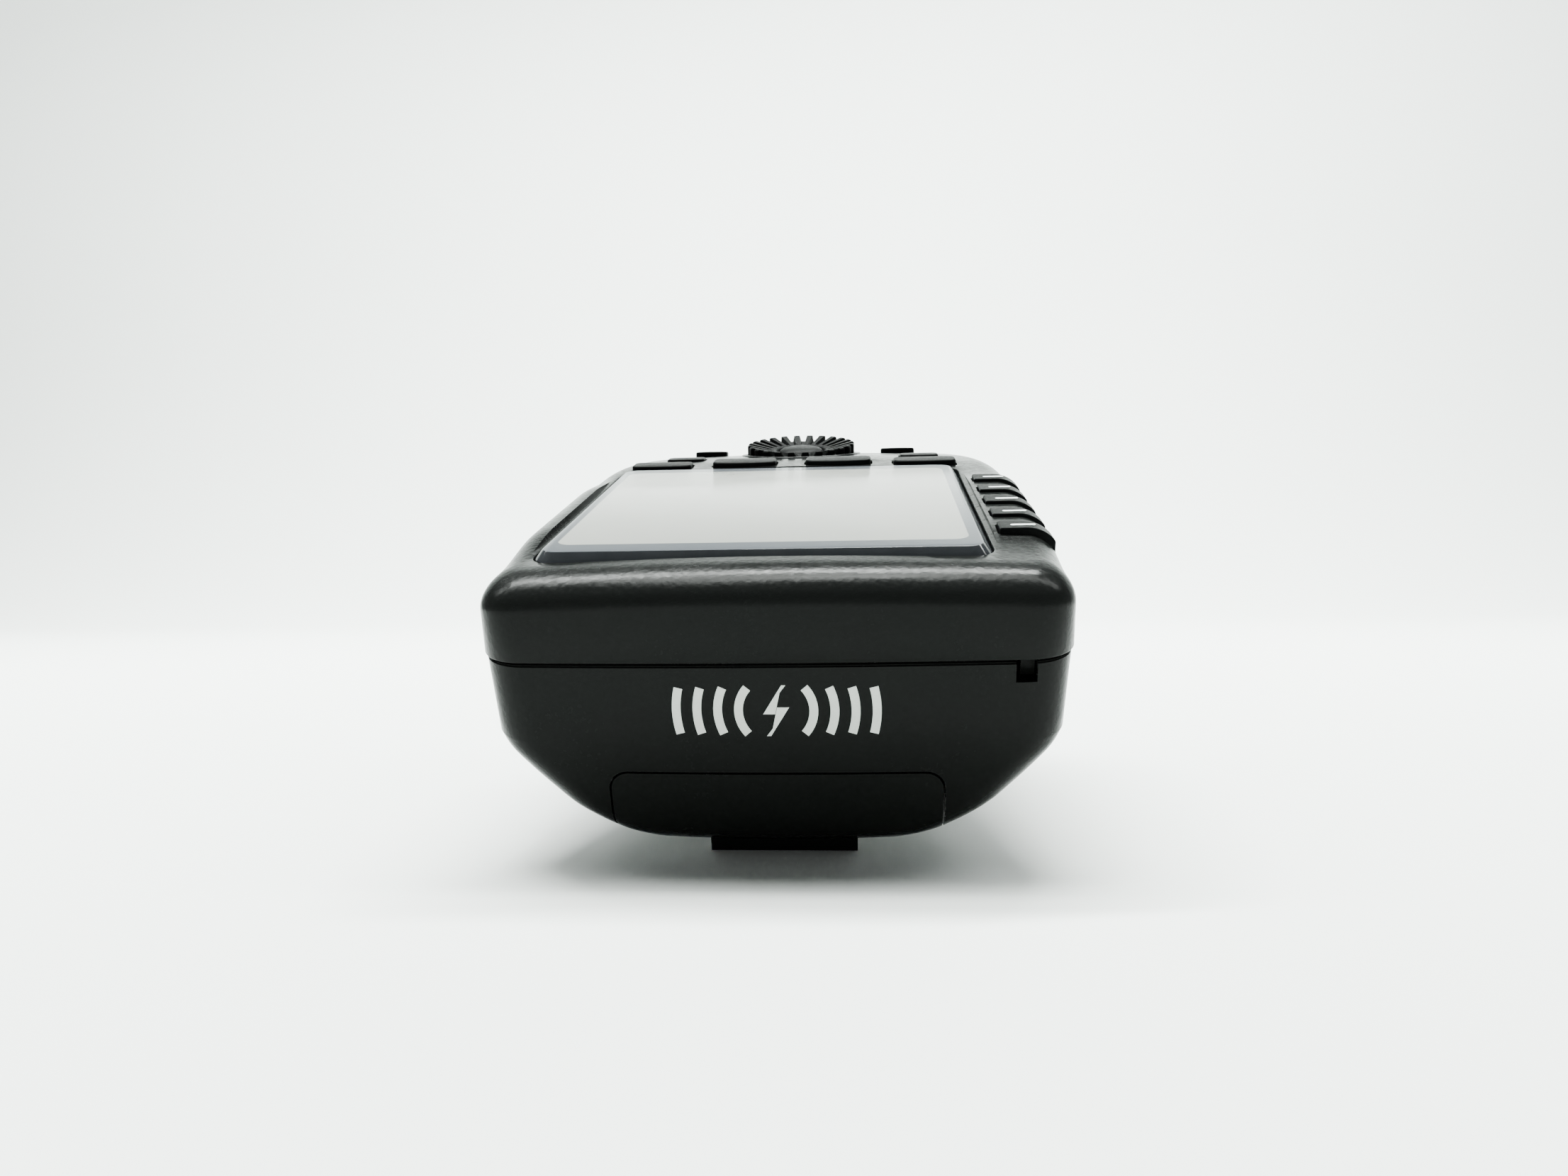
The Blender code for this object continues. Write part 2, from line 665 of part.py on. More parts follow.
def add_usb_socket():
    usb_x = (20.3, 28.1)
    form = box(usb_x, (USB_Y - 4.45, USB_Y + 4.45), (USB_Z - 1.6, USB_Z + 1.6))
    shell = add_part("usb_socket", form, METAL)
    room = box((usb_x[0] + 1.0, 30.0), (USB_Y - 4.1, USB_Y + 4.1), (USB_Z - 1.25, USB_Z + 1.25))
    boolean(shell, add_cutter("usb_room", room))
    tongue = box((usb_x[0] + 0.5, 27.2), (USB_Y - 3.3, USB_Y + 3.3), (USB_Z - 0.35, USB_Z + 0.35))
    boolean(shell, add_cutter("usb_tongue", tongue), "UNION")


def lying_cylinder(radius, x_span):
    form = cylinder(radius, x_span)
    bmesh.ops.rotate(form, verts=form.verts, matrix=Matrix.Rotation(math.radians(90), 3, "Y"))
    bmesh.ops.translate(form, verts=form.verts, vec=(0, JACK_Y, JACK_Z))
    return form


def add_sync_jack():
    body = box((16.8, 26.2), (JACK_Y - 3.2, JACK_Y + 3.2), (JACK_Z - 2.6, JACK_Z + 2.6))
    jack = add_part("sync_jack", body, KEY)
    for name, radius, span, operation in (
        ("jack_collar", 2.5, (26.0, 28.4), "UNION"),
        ("jack_bore", 1.3, (18.0, 30.0), "DIFFERENCE"),
    ):
        boolean(jack, add_cutter(name, lying_cylinder(radius, span)), operation)


def add_power_switch():
    body_y = (SWITCH_Y - 5.0, SWITCH_Y + 5.0)
    add_part("power_switch_body", box((-25.9, -21.0), body_y, (SWITCH_Z - 1.75, SWITCH_Z + 1.75)), KEY)
    knob_y = (SWITCH_Y - 4.4, SWITCH_Y + 1.2)
    knob = box((-28.8, -26.3), knob_y, (SWITCH_Z - 1.4, SWITCH_Z + 1.4))
    slider = add_part("power_switch_slider", knob, KEY)
    ribs = bmesh.new()
    for rib in range(4):
        start = SWITCH_Y - 4.0 + rib * 1.3
        box((-29.3, -28.5), (start, start + 0.7), (SWITCH_Z - 1.1, SWITCH_Z + 1.1), ribs)
    boolean(slider, add_cutter("switch_ribs", ribs), "UNION")


def add_battery_bay():
    tray = add_part("battery_tray", box((-16.1, 16.1), BAY_Y, (-22.5, -11.3)), BLACK)
    room_y = (BAY_Y[0] + 0.8, BAY_Y[1] - 0.8)
    boolean(tray, add_cutter("tray_room", box((-15.2, 15.2), room_y, (-28.0, -12.1))))
    for name, x in (("left", -CELL_X), ("right", CELL_X)):
        profile = (
            (0.0, CELL_BODY + CELL_NUB),
            (2.7, CELL_BODY + CELL_NUB),
            (2.7, CELL_BODY),
            (CELL_RADIUS - 0.4, CELL_BODY),
            (CELL_RADIUS, CELL_BODY - 0.5),
            (CELL_RADIUS, 0.5),
            (CELL_RADIUS - 0.5, 0.0),
            (0.0, 0.0),
        )
        flat_end = room_y[0] + 1.1 + CELL_NUB + CELL_BODY
        place = (x, flat_end, CELL_Z)
        add_turned(f"battery_cell_{name}", profile, CELL, STANCE, place, 28, math.radians(90))
        add_spring(f"battery_spring_{name}", x, flat_end + 0.7, room_y[1] - 0.7)
    bridge = box((-13.0, 13.0), (room_y[0] + GAP, room_y[0] + 0.8), (CELL_Z - 4.5, CELL_Z + 4.5))
    add_part("battery_contact_bridge", bridge, METAL)


def add_spring(name, x, start, end):
    """A conical spring between a cell's flat end and the bay's far wall."""
    turns, steps = 2.5, 11
    curve = bpy.data.curves.new(name, "CURVE")
    curve.dimensions = "3D"
    curve.bevel_depth = 0.3 * MM
    curve.bevel_resolution = 1
    curve.use_fill_caps = True
    count = round(turns * steps) + 1
    spline = curve.splines.new("POLY")
    spline.points.add(count - 1)
    for index in range(count):
        share = index / (count - 1)
        angle = 2 * math.pi * turns * share
        radius = 2.2 + 2.8 * share
        point = (radius * math.cos(angle), (end - start) * share, radius * math.sin(angle))
        spline.points[index].co = (*[value * MM for value in point], 1.0)
    curve.materials.append(METAL)
    spring = bpy.data.objects.new(name, curve)
    spring.location = [value * MM for value in (x, start, CELL_Z)]
    spring.parent = STANCE
    PARTS.objects.link(spring)


def add_casing_screws():
    profile = ((0.0, -7.5), (1.0, -7.5), (1.0, -14.3), (1.8, -14.3), (1.8, -15.7), (0.0, -15.7))
    for index, (x, y, _) in enumerate(SCREW_POSTS):
        add_turned(f"casing_screw_{index + 1}", profile, METAL, STANCE, (x, y, 0.0), 14)


# ---------------------------------------------------------------- hot-shoe foot


def add_foot():
    foot = new_empty("foot_frame", STANCE, (0.0, FOOT_Y, FOOT_Z), FOOT_TILT)
    outline = rounded_rectangle((-PLATE_HALF_X, PLATE_HALF_X), (-PLATE_HALF_Y, PLATE_HALF_Y), 0.8, 2)
    plate = add_part("shoe_plate", prism(outline, (0.0, PLATE_THICK)), STEEL, foot)
    block_x, block_y = (-5.3, 5.3), (-4.1, 5.3)
    room_x = (block_x[0] - GAP, block_x[1] + GAP)
    room_y = (block_y[0] - GAP, block_y[1] + GAP)
    boolean(plate, add_cutter("block_room", box(room_x, room_y, (-1.0, 3.0)), foot))
    holes = cylinder(1.25, (-1.0, 3.0), (0.0, LOCK_PIN_Y), 16)
    for index, (x, y) in enumerate(PLATE_SCREWS):
        cylinder(1.5, (-1.0, 3.0), (x, y), 14, holes)
        add_part(f"shoe_plate_screw_{index + 1}", cylinder(1.2, (0.15, 1.85), (x, y), 14), METAL, foot)
    boolean(plate, add_cutter("plate_holes", holes, foot))

    block = add_part("contact_block", box(block_x, block_y, (0.1, 1.9)), KEY, foot)
    pin_holes = bmesh.new()
    for index, (x, y, radius) in enumerate(CONTACT_PINS):
        cylinder(radius + GAP, (-1.0, 3.0), (x, y), 16, pin_holes)
        pin = cylinder(radius - 0.15, (0.05, 0.35), (x, y), 14, tip_radius=radius)
        bmesh.ops.delete(pin, geom=[face for face in pin.faces if face.normal.z > 0.9], context="FACES_ONLY")
        rim = [edge for edge in pin.edges if edge.is_boundary]
        drawn = bmesh.ops.extrude_edge_only(pin, edges=rim)["geom"]
        upper = [part for part in drawn if isinstance(part, bmesh.types.BMVert)]
        bmesh.ops.translate(pin, verts=upper, vec=(0, 0, 1.25))
        bmesh.ops.contextual_create(pin, geom=upper)
        add_part(f"contact_pin_{index + 1}", pin, BRASS, foot, (x, y, 0.0))
    boolean(block, add_cutter("pin_holes", pin_holes, foot))
    lock_pin = cylinder(0.9, (0.3, 2.1), (0.0, LOCK_PIN_Y), 16)
    add_part("lock_pin", lock_pin, METAL, foot, (0.0, LOCK_PIN_Y, 0.0))

    neck = cylinder(NECK_RADIUS, (PLATE_THICK + GAP, NECK_TOP), sides=28)
    add_part("shoe_neck", neck, KEY, foot, smooth=True)
    outline = rounded_rectangle((-PLATE_HALF_X, PLATE_HALF_X), (-8.6, 8.6), 2.0, 3)
    clamp = add_part("clamp_plate", prism(outline, CLAMP_Z), METAL, foot)
    boolean(clamp, add_cutter("clamp_bore", cylinder(NECK_RADIUS + 0.4, (3.0, 8.0), sides=28), foot))
    ring = add_part("lock_ring", prism(toothed_circle(RING_RADIUS, 0.5, 30), RING_Z), BLACK, foot)
    boolean(ring, add_cutter("ring_bore", cylinder(NECK_RADIUS + 0.5, (5.0, 12.0), sides=28), foot))
    add_shoe_base(foot)


def add_shoe_base(foot):
    """A wedge between the level foot and the sloping underside of the body."""
    outline = rounded_rectangle((-BASE_HALF_X, BASE_HALF_X), (-BASE_HALF_Y, BASE_HALF_Y), 3.0, 3)
    base = add_part("shoe_base", prism(outline, (BASE_BOTTOM, 17.0)), BLACK, foot)
    above = box((-20, 20), (FOOT_Y - 20, FOOT_Y + 20), (BOTTOM - GAP, BOTTOM + 12))
    boolean(base, add_cutter("base_trim", above))


def tip_onto_table():
    """Tips the object until its two lowest edges are level, and puts its bottom centre at the origin."""
    front_y = FOOT_Y - PLATE_HALF_Y * math.cos(FOOT_TILT)
    front_z = FOOT_Z - PLATE_HALF_Y * math.sin(FOOT_TILT)
    STANCE.rotation_euler.x = math.atan2(BAR_BOTTOM - front_z, front_y - BAR_Y[0])
    bpy.context.view_layer.update()
    graph = bpy.context.evaluated_depsgraph_get()
    low = Vector((math.inf,) * 3)
    high = Vector((-math.inf,) * 3)
    for item in PARTS.objects:
        if item.type == "EMPTY":
            continue
        shape = item.evaluated_get(graph).to_mesh()
        for vert in shape.vertices:
            point = item.matrix_world @ vert.co
            low = Vector(map(min, low, point))
            high = Vector(map(max, high, point))
    STANCE.location = (-(low.x + high.x) / 2, -(low.y + high.y) / 2, -low.z)
    bpy.context.view_layer.update()


clear_scene()
PARTS = new_collection("wireless_flash_trigger")
CUTTERS = new_collection("cutters")
BLACK = new_material("black_plastic", (0.018, 0.019, 0.021), 0.45)
KEY = new_material("key_plastic", (0.02, 0.02, 0.022), 0.5)
GLASS = new_material("screen_glass", (0.09, 0.11, 0.14), 0.06)
DISPLAY = new_material("display_grey", (0.55, 0.56, 0.55), 0.2)
WHITE = new_material("white_plastic", (0.8, 0.8, 0.8), 0.5)
RUBBER = new_material("key_rubber", (0.05, 0.05, 0.05), 0.8)
BOARD = new_material("circuit_board", (0.02, 0.16, 0.07), 0.5)
METAL = new_material("plated_metal", (0.6, 0.6, 0.6), 0.35, 1.0)
STEEL = new_material("shoe_steel", (0.5, 0.5, 0.52), 0.3, 1.0)
BRASS = new_material("contact_brass", (0.8, 0.6, 0.25), 0.3, 1.0)
CELL = new_material("cell_wrapper", (0.12, 0.12, 0.14), 0.4)
STANCE = new_empty("stance")
add_upper_casing()
add_lower_casing()
add_battery_lid()
add_screen()
add_group_keys()
add_rear_keys()
add_dial()
add_electronics()
add_battery_bay()
add_casing_screws()
add_foot()
tip_onto_table()
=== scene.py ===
import json
import math

import bmesh
import bpy
from mathutils import Matrix, Vector


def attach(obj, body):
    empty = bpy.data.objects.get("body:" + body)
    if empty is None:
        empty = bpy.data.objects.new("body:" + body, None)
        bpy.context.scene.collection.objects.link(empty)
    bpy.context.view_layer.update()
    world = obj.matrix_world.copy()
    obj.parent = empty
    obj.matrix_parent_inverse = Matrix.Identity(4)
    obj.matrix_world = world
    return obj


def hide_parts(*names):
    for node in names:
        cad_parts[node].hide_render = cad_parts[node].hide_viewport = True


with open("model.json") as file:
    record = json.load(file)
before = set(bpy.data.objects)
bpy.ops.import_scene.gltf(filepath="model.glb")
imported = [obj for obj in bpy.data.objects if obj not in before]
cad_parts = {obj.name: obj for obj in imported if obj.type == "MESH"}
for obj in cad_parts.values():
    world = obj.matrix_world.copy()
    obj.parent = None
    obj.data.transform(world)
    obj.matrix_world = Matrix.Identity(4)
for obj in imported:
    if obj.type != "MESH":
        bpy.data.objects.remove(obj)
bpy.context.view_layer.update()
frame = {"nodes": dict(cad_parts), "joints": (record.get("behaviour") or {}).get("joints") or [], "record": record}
NODES = frame["nodes"]
JOINTS = {joint["name"]: joint for joint in frame["joints"]}
MM = 0.001

# The body is laid out in millimetres in a frame of its own: X to the right, Y from the nose to the
# dial, Z up from the plane of the screen window. The sizes are those of part.py, apart from the two
# rims, which stand closer together at the seam here. The step counts are finer.
HALF_WIDTH = 29.0
BODY_LENGTH = 88.0
NOSE_BOW = 0.5
PLAN_CORNER = 5.0
ARCH_START = 50.0
ARCH_POWER_X = 2.5
ARCH_POWER_Y = 2.23
NOSE_STEPS = 18
CORNER_STEPS = 12
SIDE_STEPS = 36
ARCH_STEPS = 34

WALL = 1.8
TOP_CENTRE = -0.12
CROWN_DROP = 0.85
NOSE_DROP = 0.23
NOSE_EASE = (8.0, 20.0)
FAR_EASE = (40.0, 52.0)
FALL_START = 56.0
FALL_END = 74.0
FALL_RATE = 0.0047
SIDE_FILLET = 3.4
NOSE_FILLET_RUN = 6.0
NOSE_FILLET_HEIGHT = 3.1
FAR_FILLET_HEIGHT = 2.0
FILLET_STEPS = 14
TOP_CORNER = 2.0
TOP_EDGE_CORNER = 1.9
# Half width, near end, far end and plan corner of the narrow ring in which the top or bottom closes
TOP_SPINE = (2.5, 22.0, 72.0, 1.2)
TOP_SPINE_STEPS = 9
BOTTOM_SPINE = (3.0, 12.0, 66.0, 2.0)
BOTTOM_SPINE_STEPS = 5
# Near end, far end and plan corner of the flat bottom
BOTTOM_EDGE = (1.9, 78.6, 6.4)
UPPER_RIM = -8.92
UPPER_RIM_EASE = 0.18
REBATE_TOP = -6.6
REBATE_WALL = 0.8

LOWER_RIM = -9.13
LOWER_RIM_EASE = 0.1
LOWER_INSET = 0.25
LIP_TOP = -7.0
LIP_INSET = 1.1
BOTTOM = -29.3
BOTTOM_CROWN = 0.9
BOTTOM_HALF = 17.4
RISE_START = 70.0
RISE_RATE = 0.015
SECTION_STEPS = 5
# Rings of the lower casing: height, half width, nose face, far end, plan corner radius
LOWER_SECTION = (
    (-9.3, 28.75, 0.0, 87.75, 5.0),
    (-17.0, 28.25, 0.0, 87.2, 5.0),
    (-18.7, 27.5, 0.05, 86.5, 5.2),
    (-20.7, 26.0, 0.1, 85.5, 5.6),
    (-22.9, 24.1, 0.15, 84.2, 6.0),
    (-25.1, 22.0, 0.25, 82.6, 6.4),
    (-27.3, 19.0, 0.9, 80.4, 6.6),
    (-28.4, BOTTOM_HALF, 1.9, 78.6, 6.8),
)

GAP = 0.3
WINDOW_GAP = GAP * 0.7
KEY_GAP = GAP * 0.6
HOLE_FLOOR = -5.0
HOLE_CEILING = 4.0
HOLE_FLARE = 0.35
# Rows of a hole's rounded mouth, from above down: angle round the edge, step outwards, step upwards
EDGE_STEPS = (
    (0.0, HOLE_FLARE, 0.12),
    (0.0, 0.0, 0.0),
    (30.0, 0.0, 0.0),
    (60.0, 0.0, 0.0),
    (90.0, 0.0, 0.0),
)
WINDOW_ROUND = 0.16
KEY_HOLE_ROUND = 0.14
GLASS_X = -1.54
GLASS_WIDTH = 46.3
GLASS_NEAR = 8.0
GLASS_LENGTH = 46.05
GLASS_CORNER = 2.5
GLASS_CHAMFER = 1.0
GLASS_THICK = 1.6
GLASS_EASE = 0.16
GLASS_SMOOTH_ANGLE = 20.0
LEVEL_NORMAL = 0.9
DISPLAY_X = -1.7
DISPLAY_WIDTH = 42.5
DISPLAY_NEAR = 11.6
DISPLAY_LENGTH = 39.4
DISPLAY_CORNER = 1.6

GROUP_KEY_INNER = 22.95
GROUP_KEY_OUTER = 28.7
GROUP_KEY_FIRST = 16.6
GROUP_KEY_PITCH = 6.6
GROUP_KEY_HALF = 1.65
GROUP_KEY_RAISE = 0.55
GROUP_KEY_FLOOR = -3.6
GROUP_STEM_END = -4.9
GROUP_SLOT_FLOOR = -4.25
GROUP_SLOT_CORNER = 0.7
GROUP_STEM = (23.4, 26.0)
GROUP_KEY_EDGE = 0.42
# The groove from the window to each group key: distance past the key's edge, half width, span in Z
GROOVE = (1.05, 0.09, (-0.7, 1.5))
# The bar on a group key: start and end in X, half width, shift towards the nose, depth, height
BAR_MARK = (24.15, 26.75, 0.27, 0.3, 0.03, 0.02)
FUNCTION_KEY_Y = 57.6
FUNCTION_KEY_RAISE = 0.65
KEY_DEPTH = 3.6
KEY_BOTTOM = -4.7
KEY_EDGE = 0.28
KEY_SINK = 0.05
KEY_SWELL = 0.06
# Function keys: middle in X, width, bulge. Control keys: middle in X and Y, width, depth, height
FUNCTION_KEYS = ((-19.65, 8.5, 0.3), (-7.8, 9.0, 0.6), (5.5, 9.2, 0.6), (17.6, 8.7, 0.3))
CONTROL_KEYS = (
    (-17.25, 64.4, 5.6, 3.4, 0.45),
    (17.2, 64.4, 5.6, 3.4, 0.45),
    (-14.85, 75.2, 5.0, 3.4, 0.85),
    (14.4, 75.2, 5.2, 3.4, 0.85),
)

DIAL_CENTRE = (-0.5, 71.5)
DIAL_RADIUS = 8.25
DIAL_TEETH = 24
DIAL_TOP = 0.4
DIAL_BOTTOM = -3.9
DIAL_BORE = 3.7
DIAL_GAP = 0.28
DIAL_HOLE_FLOOR = -7.0
DIAL_HOLE_ROUND = 0.2
DIAL_TOOTH_STEPS = 14
DIAL_RIM_INSET = 0.05
DIAL_SKIRT = -1.05
DIAL_SKIRT_INSET = 0.14
DIAL_EDGE = 0.34
DIAL_DISH = 0.95
DIAL_HUB = 4.05
TOOTH_DEPTH = 0.6
TOOTH_FLANK = (0.2, 0.36)
RIDGE_DEPTH = 0.85
DIAL_SMOOTH_ANGLE = 50.0
ROUND_SIDES = 120
TURNED_SIDES = 64
# Radius and height of the dial's lip round its bore, of the button and of the collar round the dial
DIAL_LIP = ((3.85, -0.62), (DIAL_BORE, -0.75))
BUTTON_PROFILE = (
    (0.0, -0.1),
    (1.2, -0.13),
    (2.2, -0.22),
    (2.9, -0.4),
    (3.25, -0.62),
    (3.4, -0.95),
    (3.4, -1.6),
    (1.6, -1.7),
    (1.6, DIAL_BOTTOM),
    (0.0, DIAL_BOTTOM),
)
COLLAR_PROFILE = ((8.62, -0.6), (8.62, 0.1), (8.7, 0.18), (8.95, 0.18), (9.15, 0.1), (9.35, -0.3))

SCREW_POSTS = ((-20.0, 4.8), (20.0, 4.8), (-5.5, 80.3), (5.5, 80.3))
POST_RADIUS = 3.0
POST_TOP = -11.2
POST_FOOT = -22.0
FAR_POST_FOOT = -20.0
WELL_RADIUS = 2.2
WELL_SPAN = (-31.0, -14.0)
BORE_RADIUS = 1.3
BORE_SPAN = (-16.0, -10.0)
LID_HALF = 16.3
LID_TOP = -20.4
LID_FAR = 47.0
LID_CORNER = 1.75
LID_GAP = 0.22
LID_CUT_START = -3.0
LID_CUT_FLOOR = -34.0
BAR_X = (-7.0, 7.9)
BAR_Y = (2.6, 5.0)
BAR_Z = (-30.1, -28.2)
SWITCH_Y = 28.5
SWITCH_Z = -13.0
USB_Y = 30.0
USB_Z = -12.85
JACK_Y = 44.0
JACK_Z = -13.9
# Slots in the side walls: span in X, middle in Y and Z, half length, half height, corner radius
SWITCH_SLOT = ((-HALF_WIDTH - 1, -26.4), (SWITCH_Y, SWITCH_Z), 4.7, 1.7, 0.5)
USB_SLOT = ((26.0, HALF_WIDTH + 1), (USB_Y, USB_Z), 4.8, 1.95, 1.7)
JACK_BORE = 2.8
JACK_SPAN = (24.0, 31.0)
NOTCH_X = (22.9, 24.9)
NOTCH_Y = (-2.0, 2.6)
NOTCH_Z = (-11.1, LIP_TOP + 1.0)

NOSE_FACE_HALF = 28.5
MARK_CENTRE = (0.35, -13.65)
MARK_PROUD = 0.035
MARK_SUNK = 0.05
ARC_RADII = (3.6, 5.6, 7.6, 9.6)
ARC_REACH = 2.35
ARC_HALF_WIDTH = 0.42
ARC_STEPS = 14
# Each half of the bolt is a strip of left and right points
BOLT_UPPER = ((0.95, 2.6), (-1.25, -0.35), (-0.1, -0.35), (0.55, 2.6))
BOLT_LOWER = ((0.1, 0.35), (1.25, 0.35), (-0.95, -2.6), (-0.55, -2.6))

SMOOTH_ANGLE = 32.0
BEVEL_ANGLE = 38.0
WELD_DISTANCE = 0.000002
ROUNDED_NODES = (
    ("shoe_plate", 0.2),
    ("contact_block", 0.12),
    ("clamp_plate", 0.18),
    ("lock_ring", 0.15),
    ("shoe_base", 0.4),
    ("power_switch_slider", 0.14),
    ("usb_socket", 0.12),
    ("sync_jack", 0.12),
    ("battery_tray", 0.25),
    ("radio_shield_can", 0.2),
    ("processor", 0.15),
    ("buzzer", 0.2),
    ("main_board", 0.1),
    ("key_mat", 0.1),
)

# The stage, the lights and the camera's lens are in metres and watts, in the row frame
BACKDROP_X = (-3.0, -1.0, 0.0, 1.0, 3.0)
BACKDROP_FLOOR_Y = (-2.5, -0.6, 0.0, 0.35)
BACKDROP_TURN_Y = 0.5
BACKDROP_RADIUS = 0.35
BACKDROP_STEPS = 24
BACKDROP_TOP = (0.6, 0.8)
WORLD_COLOUR = (0.95, 1.0, 0.985, 1.0)
# Height of the world direction at the start and end of the glow's range, and its strength at each
WORLD_GLOW = (0.0, 0.35, 0.95, 0.1)
LIGHT_TINT = (0.955, 1.0, 0.965)
# Name, place, target, size and power
AREA_LIGHTS = (
    ("overhead", (-0.08, 0.34, 0.84), (0.0, 0.0, 0.0), (0.85, 0.06), 38.0),
    ("top", (-0.03, 0.06, 0.7), (0.0, 0.0, 0.0), (0.3, 0.12), 6.0),
    ("backdrop_wash", (0.0, 0.12, 0.66), (0.0, 0.85, 0.08), (1.5, 0.2), 28.0),
)
LENS_MM = 24.97
SENSOR_MM = 36.0
CLIP_START = 0.005
# The camera's place in the body frame, and its backward and upward directions
CAMERA_PLACE = (8.66, -95.49, 27.15)
CAMERA_BACK = (0.07168, -0.99738, 0.01013)
CAMERA_UP = (0.01203, 0.01102, 0.99987)


def joint_space(name, point):
    """The frame whose Z runs along a joint's axis, with the joint at the given point in it."""
    joint = JOINTS[name]
    turn = Matrix.Rotation(math.atan2(-joint["axis"][1], joint["axis"][2]), 4, "X")
    return Matrix.Translation(Vector(joint["pos_m"]) - turn @ (Vector(point) * MM)) @ turn


STANCE = joint_space("dial_turn", (*DIAL_CENTRE, DIAL_TOP))


# ---------------------------------------------------------------- materials


class Paint:
    """A node material built up from a Principled shader."""

    def __init__(self, name, roughness=0.5, metallic=0.0, **sockets):
        self.material = bpy.data.materials.new(name)
        self.material.use_nodes = True
        self.tree = self.material.node_tree
        self.shader = self.tree.nodes["Principled BSDF"]
        self.shader.inputs["Roughness"].default_value = roughness
        self.shader.inputs["Metallic"].default_value = metallic
        for socket, value in sockets.items():
            self.shader.inputs[socket.replace("_", " ")].default_value = value
        self.place = self.node("ShaderNodeTexCoord").outputs["Object"]

    def node(self, kind, **inputs):
        made = self.tree.nodes.new(kind)
        for socket, value in inputs.items():
            self.feed(made.inputs[socket.replace("_", " ")], value)
        return made

    def feed(self, socket, value):
        if isinstance(value, bpy.types.NodeSocket):
            self.tree.links.new(value, socket)
        else:
            socket.default_value = value

    def stretch(self, scale):
        node = self.node("ShaderNodeMapping", Vector=self.place, Scale=scale)
        return node.outputs["Vector"]

    def noise(self, scale, detail=3.0, roughness=0.55, place=None):
        node = self.node("ShaderNodeTexNoise", Scale=scale, Detail=detail, Roughness=roughness)
        self.feed(node.inputs["Vector"], place or self.place)
        return node.outputs["Fac"]

    def cells(self, scale):
        node = self.node("ShaderNodeTexVoronoi", Scale=scale)
        self.feed(node.inputs["Vector"], self.place)
        return node.outputs["Distance"]

    def math(self, operation, first, second):
        node = self.tree.nodes.new("ShaderNodeMath")
        node.operation = operation
        self.feed(node.inputs[0], first)
        self.feed(node.inputs[1], second)
        return node.outputs[0]

    def ranged(self, value, low, high, start=0.3, end=0.7):
        node = self.node("ShaderNodeMapRange", Value=value)
        for index, number in enumerate((start, end, low, high)):
            node.inputs[index + 1].default_value = number
        return node.outputs["Result"]

    def blend(self, factor, first, second):
        node = self.tree.nodes.new("ShaderNodeMix")
        node.data_type = "RGBA"
        self.feed(node.inputs["Factor"], factor)
        for socket, colour in ((node.inputs["A"], first), (node.inputs["B"], second)):
            if isinstance(colour, tuple):
                socket.default_value = (*colour, 1.0)
            else:
                self.tree.links.new(colour, socket)
        return node.outputs["Result"]

    def colour(self, value):
        if isinstance(value, tuple):
            self.shader.inputs["Base Color"].default_value = (*value, 1.0)
        else:
            self.tree.links.new(value, self.shader.inputs["Base Color"])

    def rough(self, value):
        self.feed(self.shader.inputs["Roughness"], value)

    def bump(self, height, distance, strength=1.0):
        node = self.node("ShaderNodeBump", Height=height)
        node.inputs["Distance"].default_value = distance
        node.inputs["Strength"].default_value = strength
        self.tree.links.new(node.outputs["Normal"], self.shader.inputs["Normal"])


def moulded_plastic(name, dark, light, roughness, sheen, grain=2600.0, depth=0.000012):
    """Satin plastic from a spark-eroded mould: fine even grain, and faint marks in the gloss."""
    paint = Paint(name, Specular_IOR_Level=sheen)
    paint.colour(paint.blend(paint.noise(38.0), dark, light))
    wear = paint.ranged(paint.noise(95.0, 5.0, 0.7), roughness - 0.05, roughness + 0.06)
    speckle = paint.ranged(paint.noise(grain * 0.8, 2.0), -0.05, 0.05)
    paint.rough(paint.math("ADD", wear, speckle))
    fine = paint.noise(grain, 3.0, 0.6)
    pits = paint.ranged(paint.cells(grain * 0.55), 0.0, 1.0, 0.0, 0.9)
    paint.bump(paint.math("ADD", fine, pits), depth)
    return paint.material


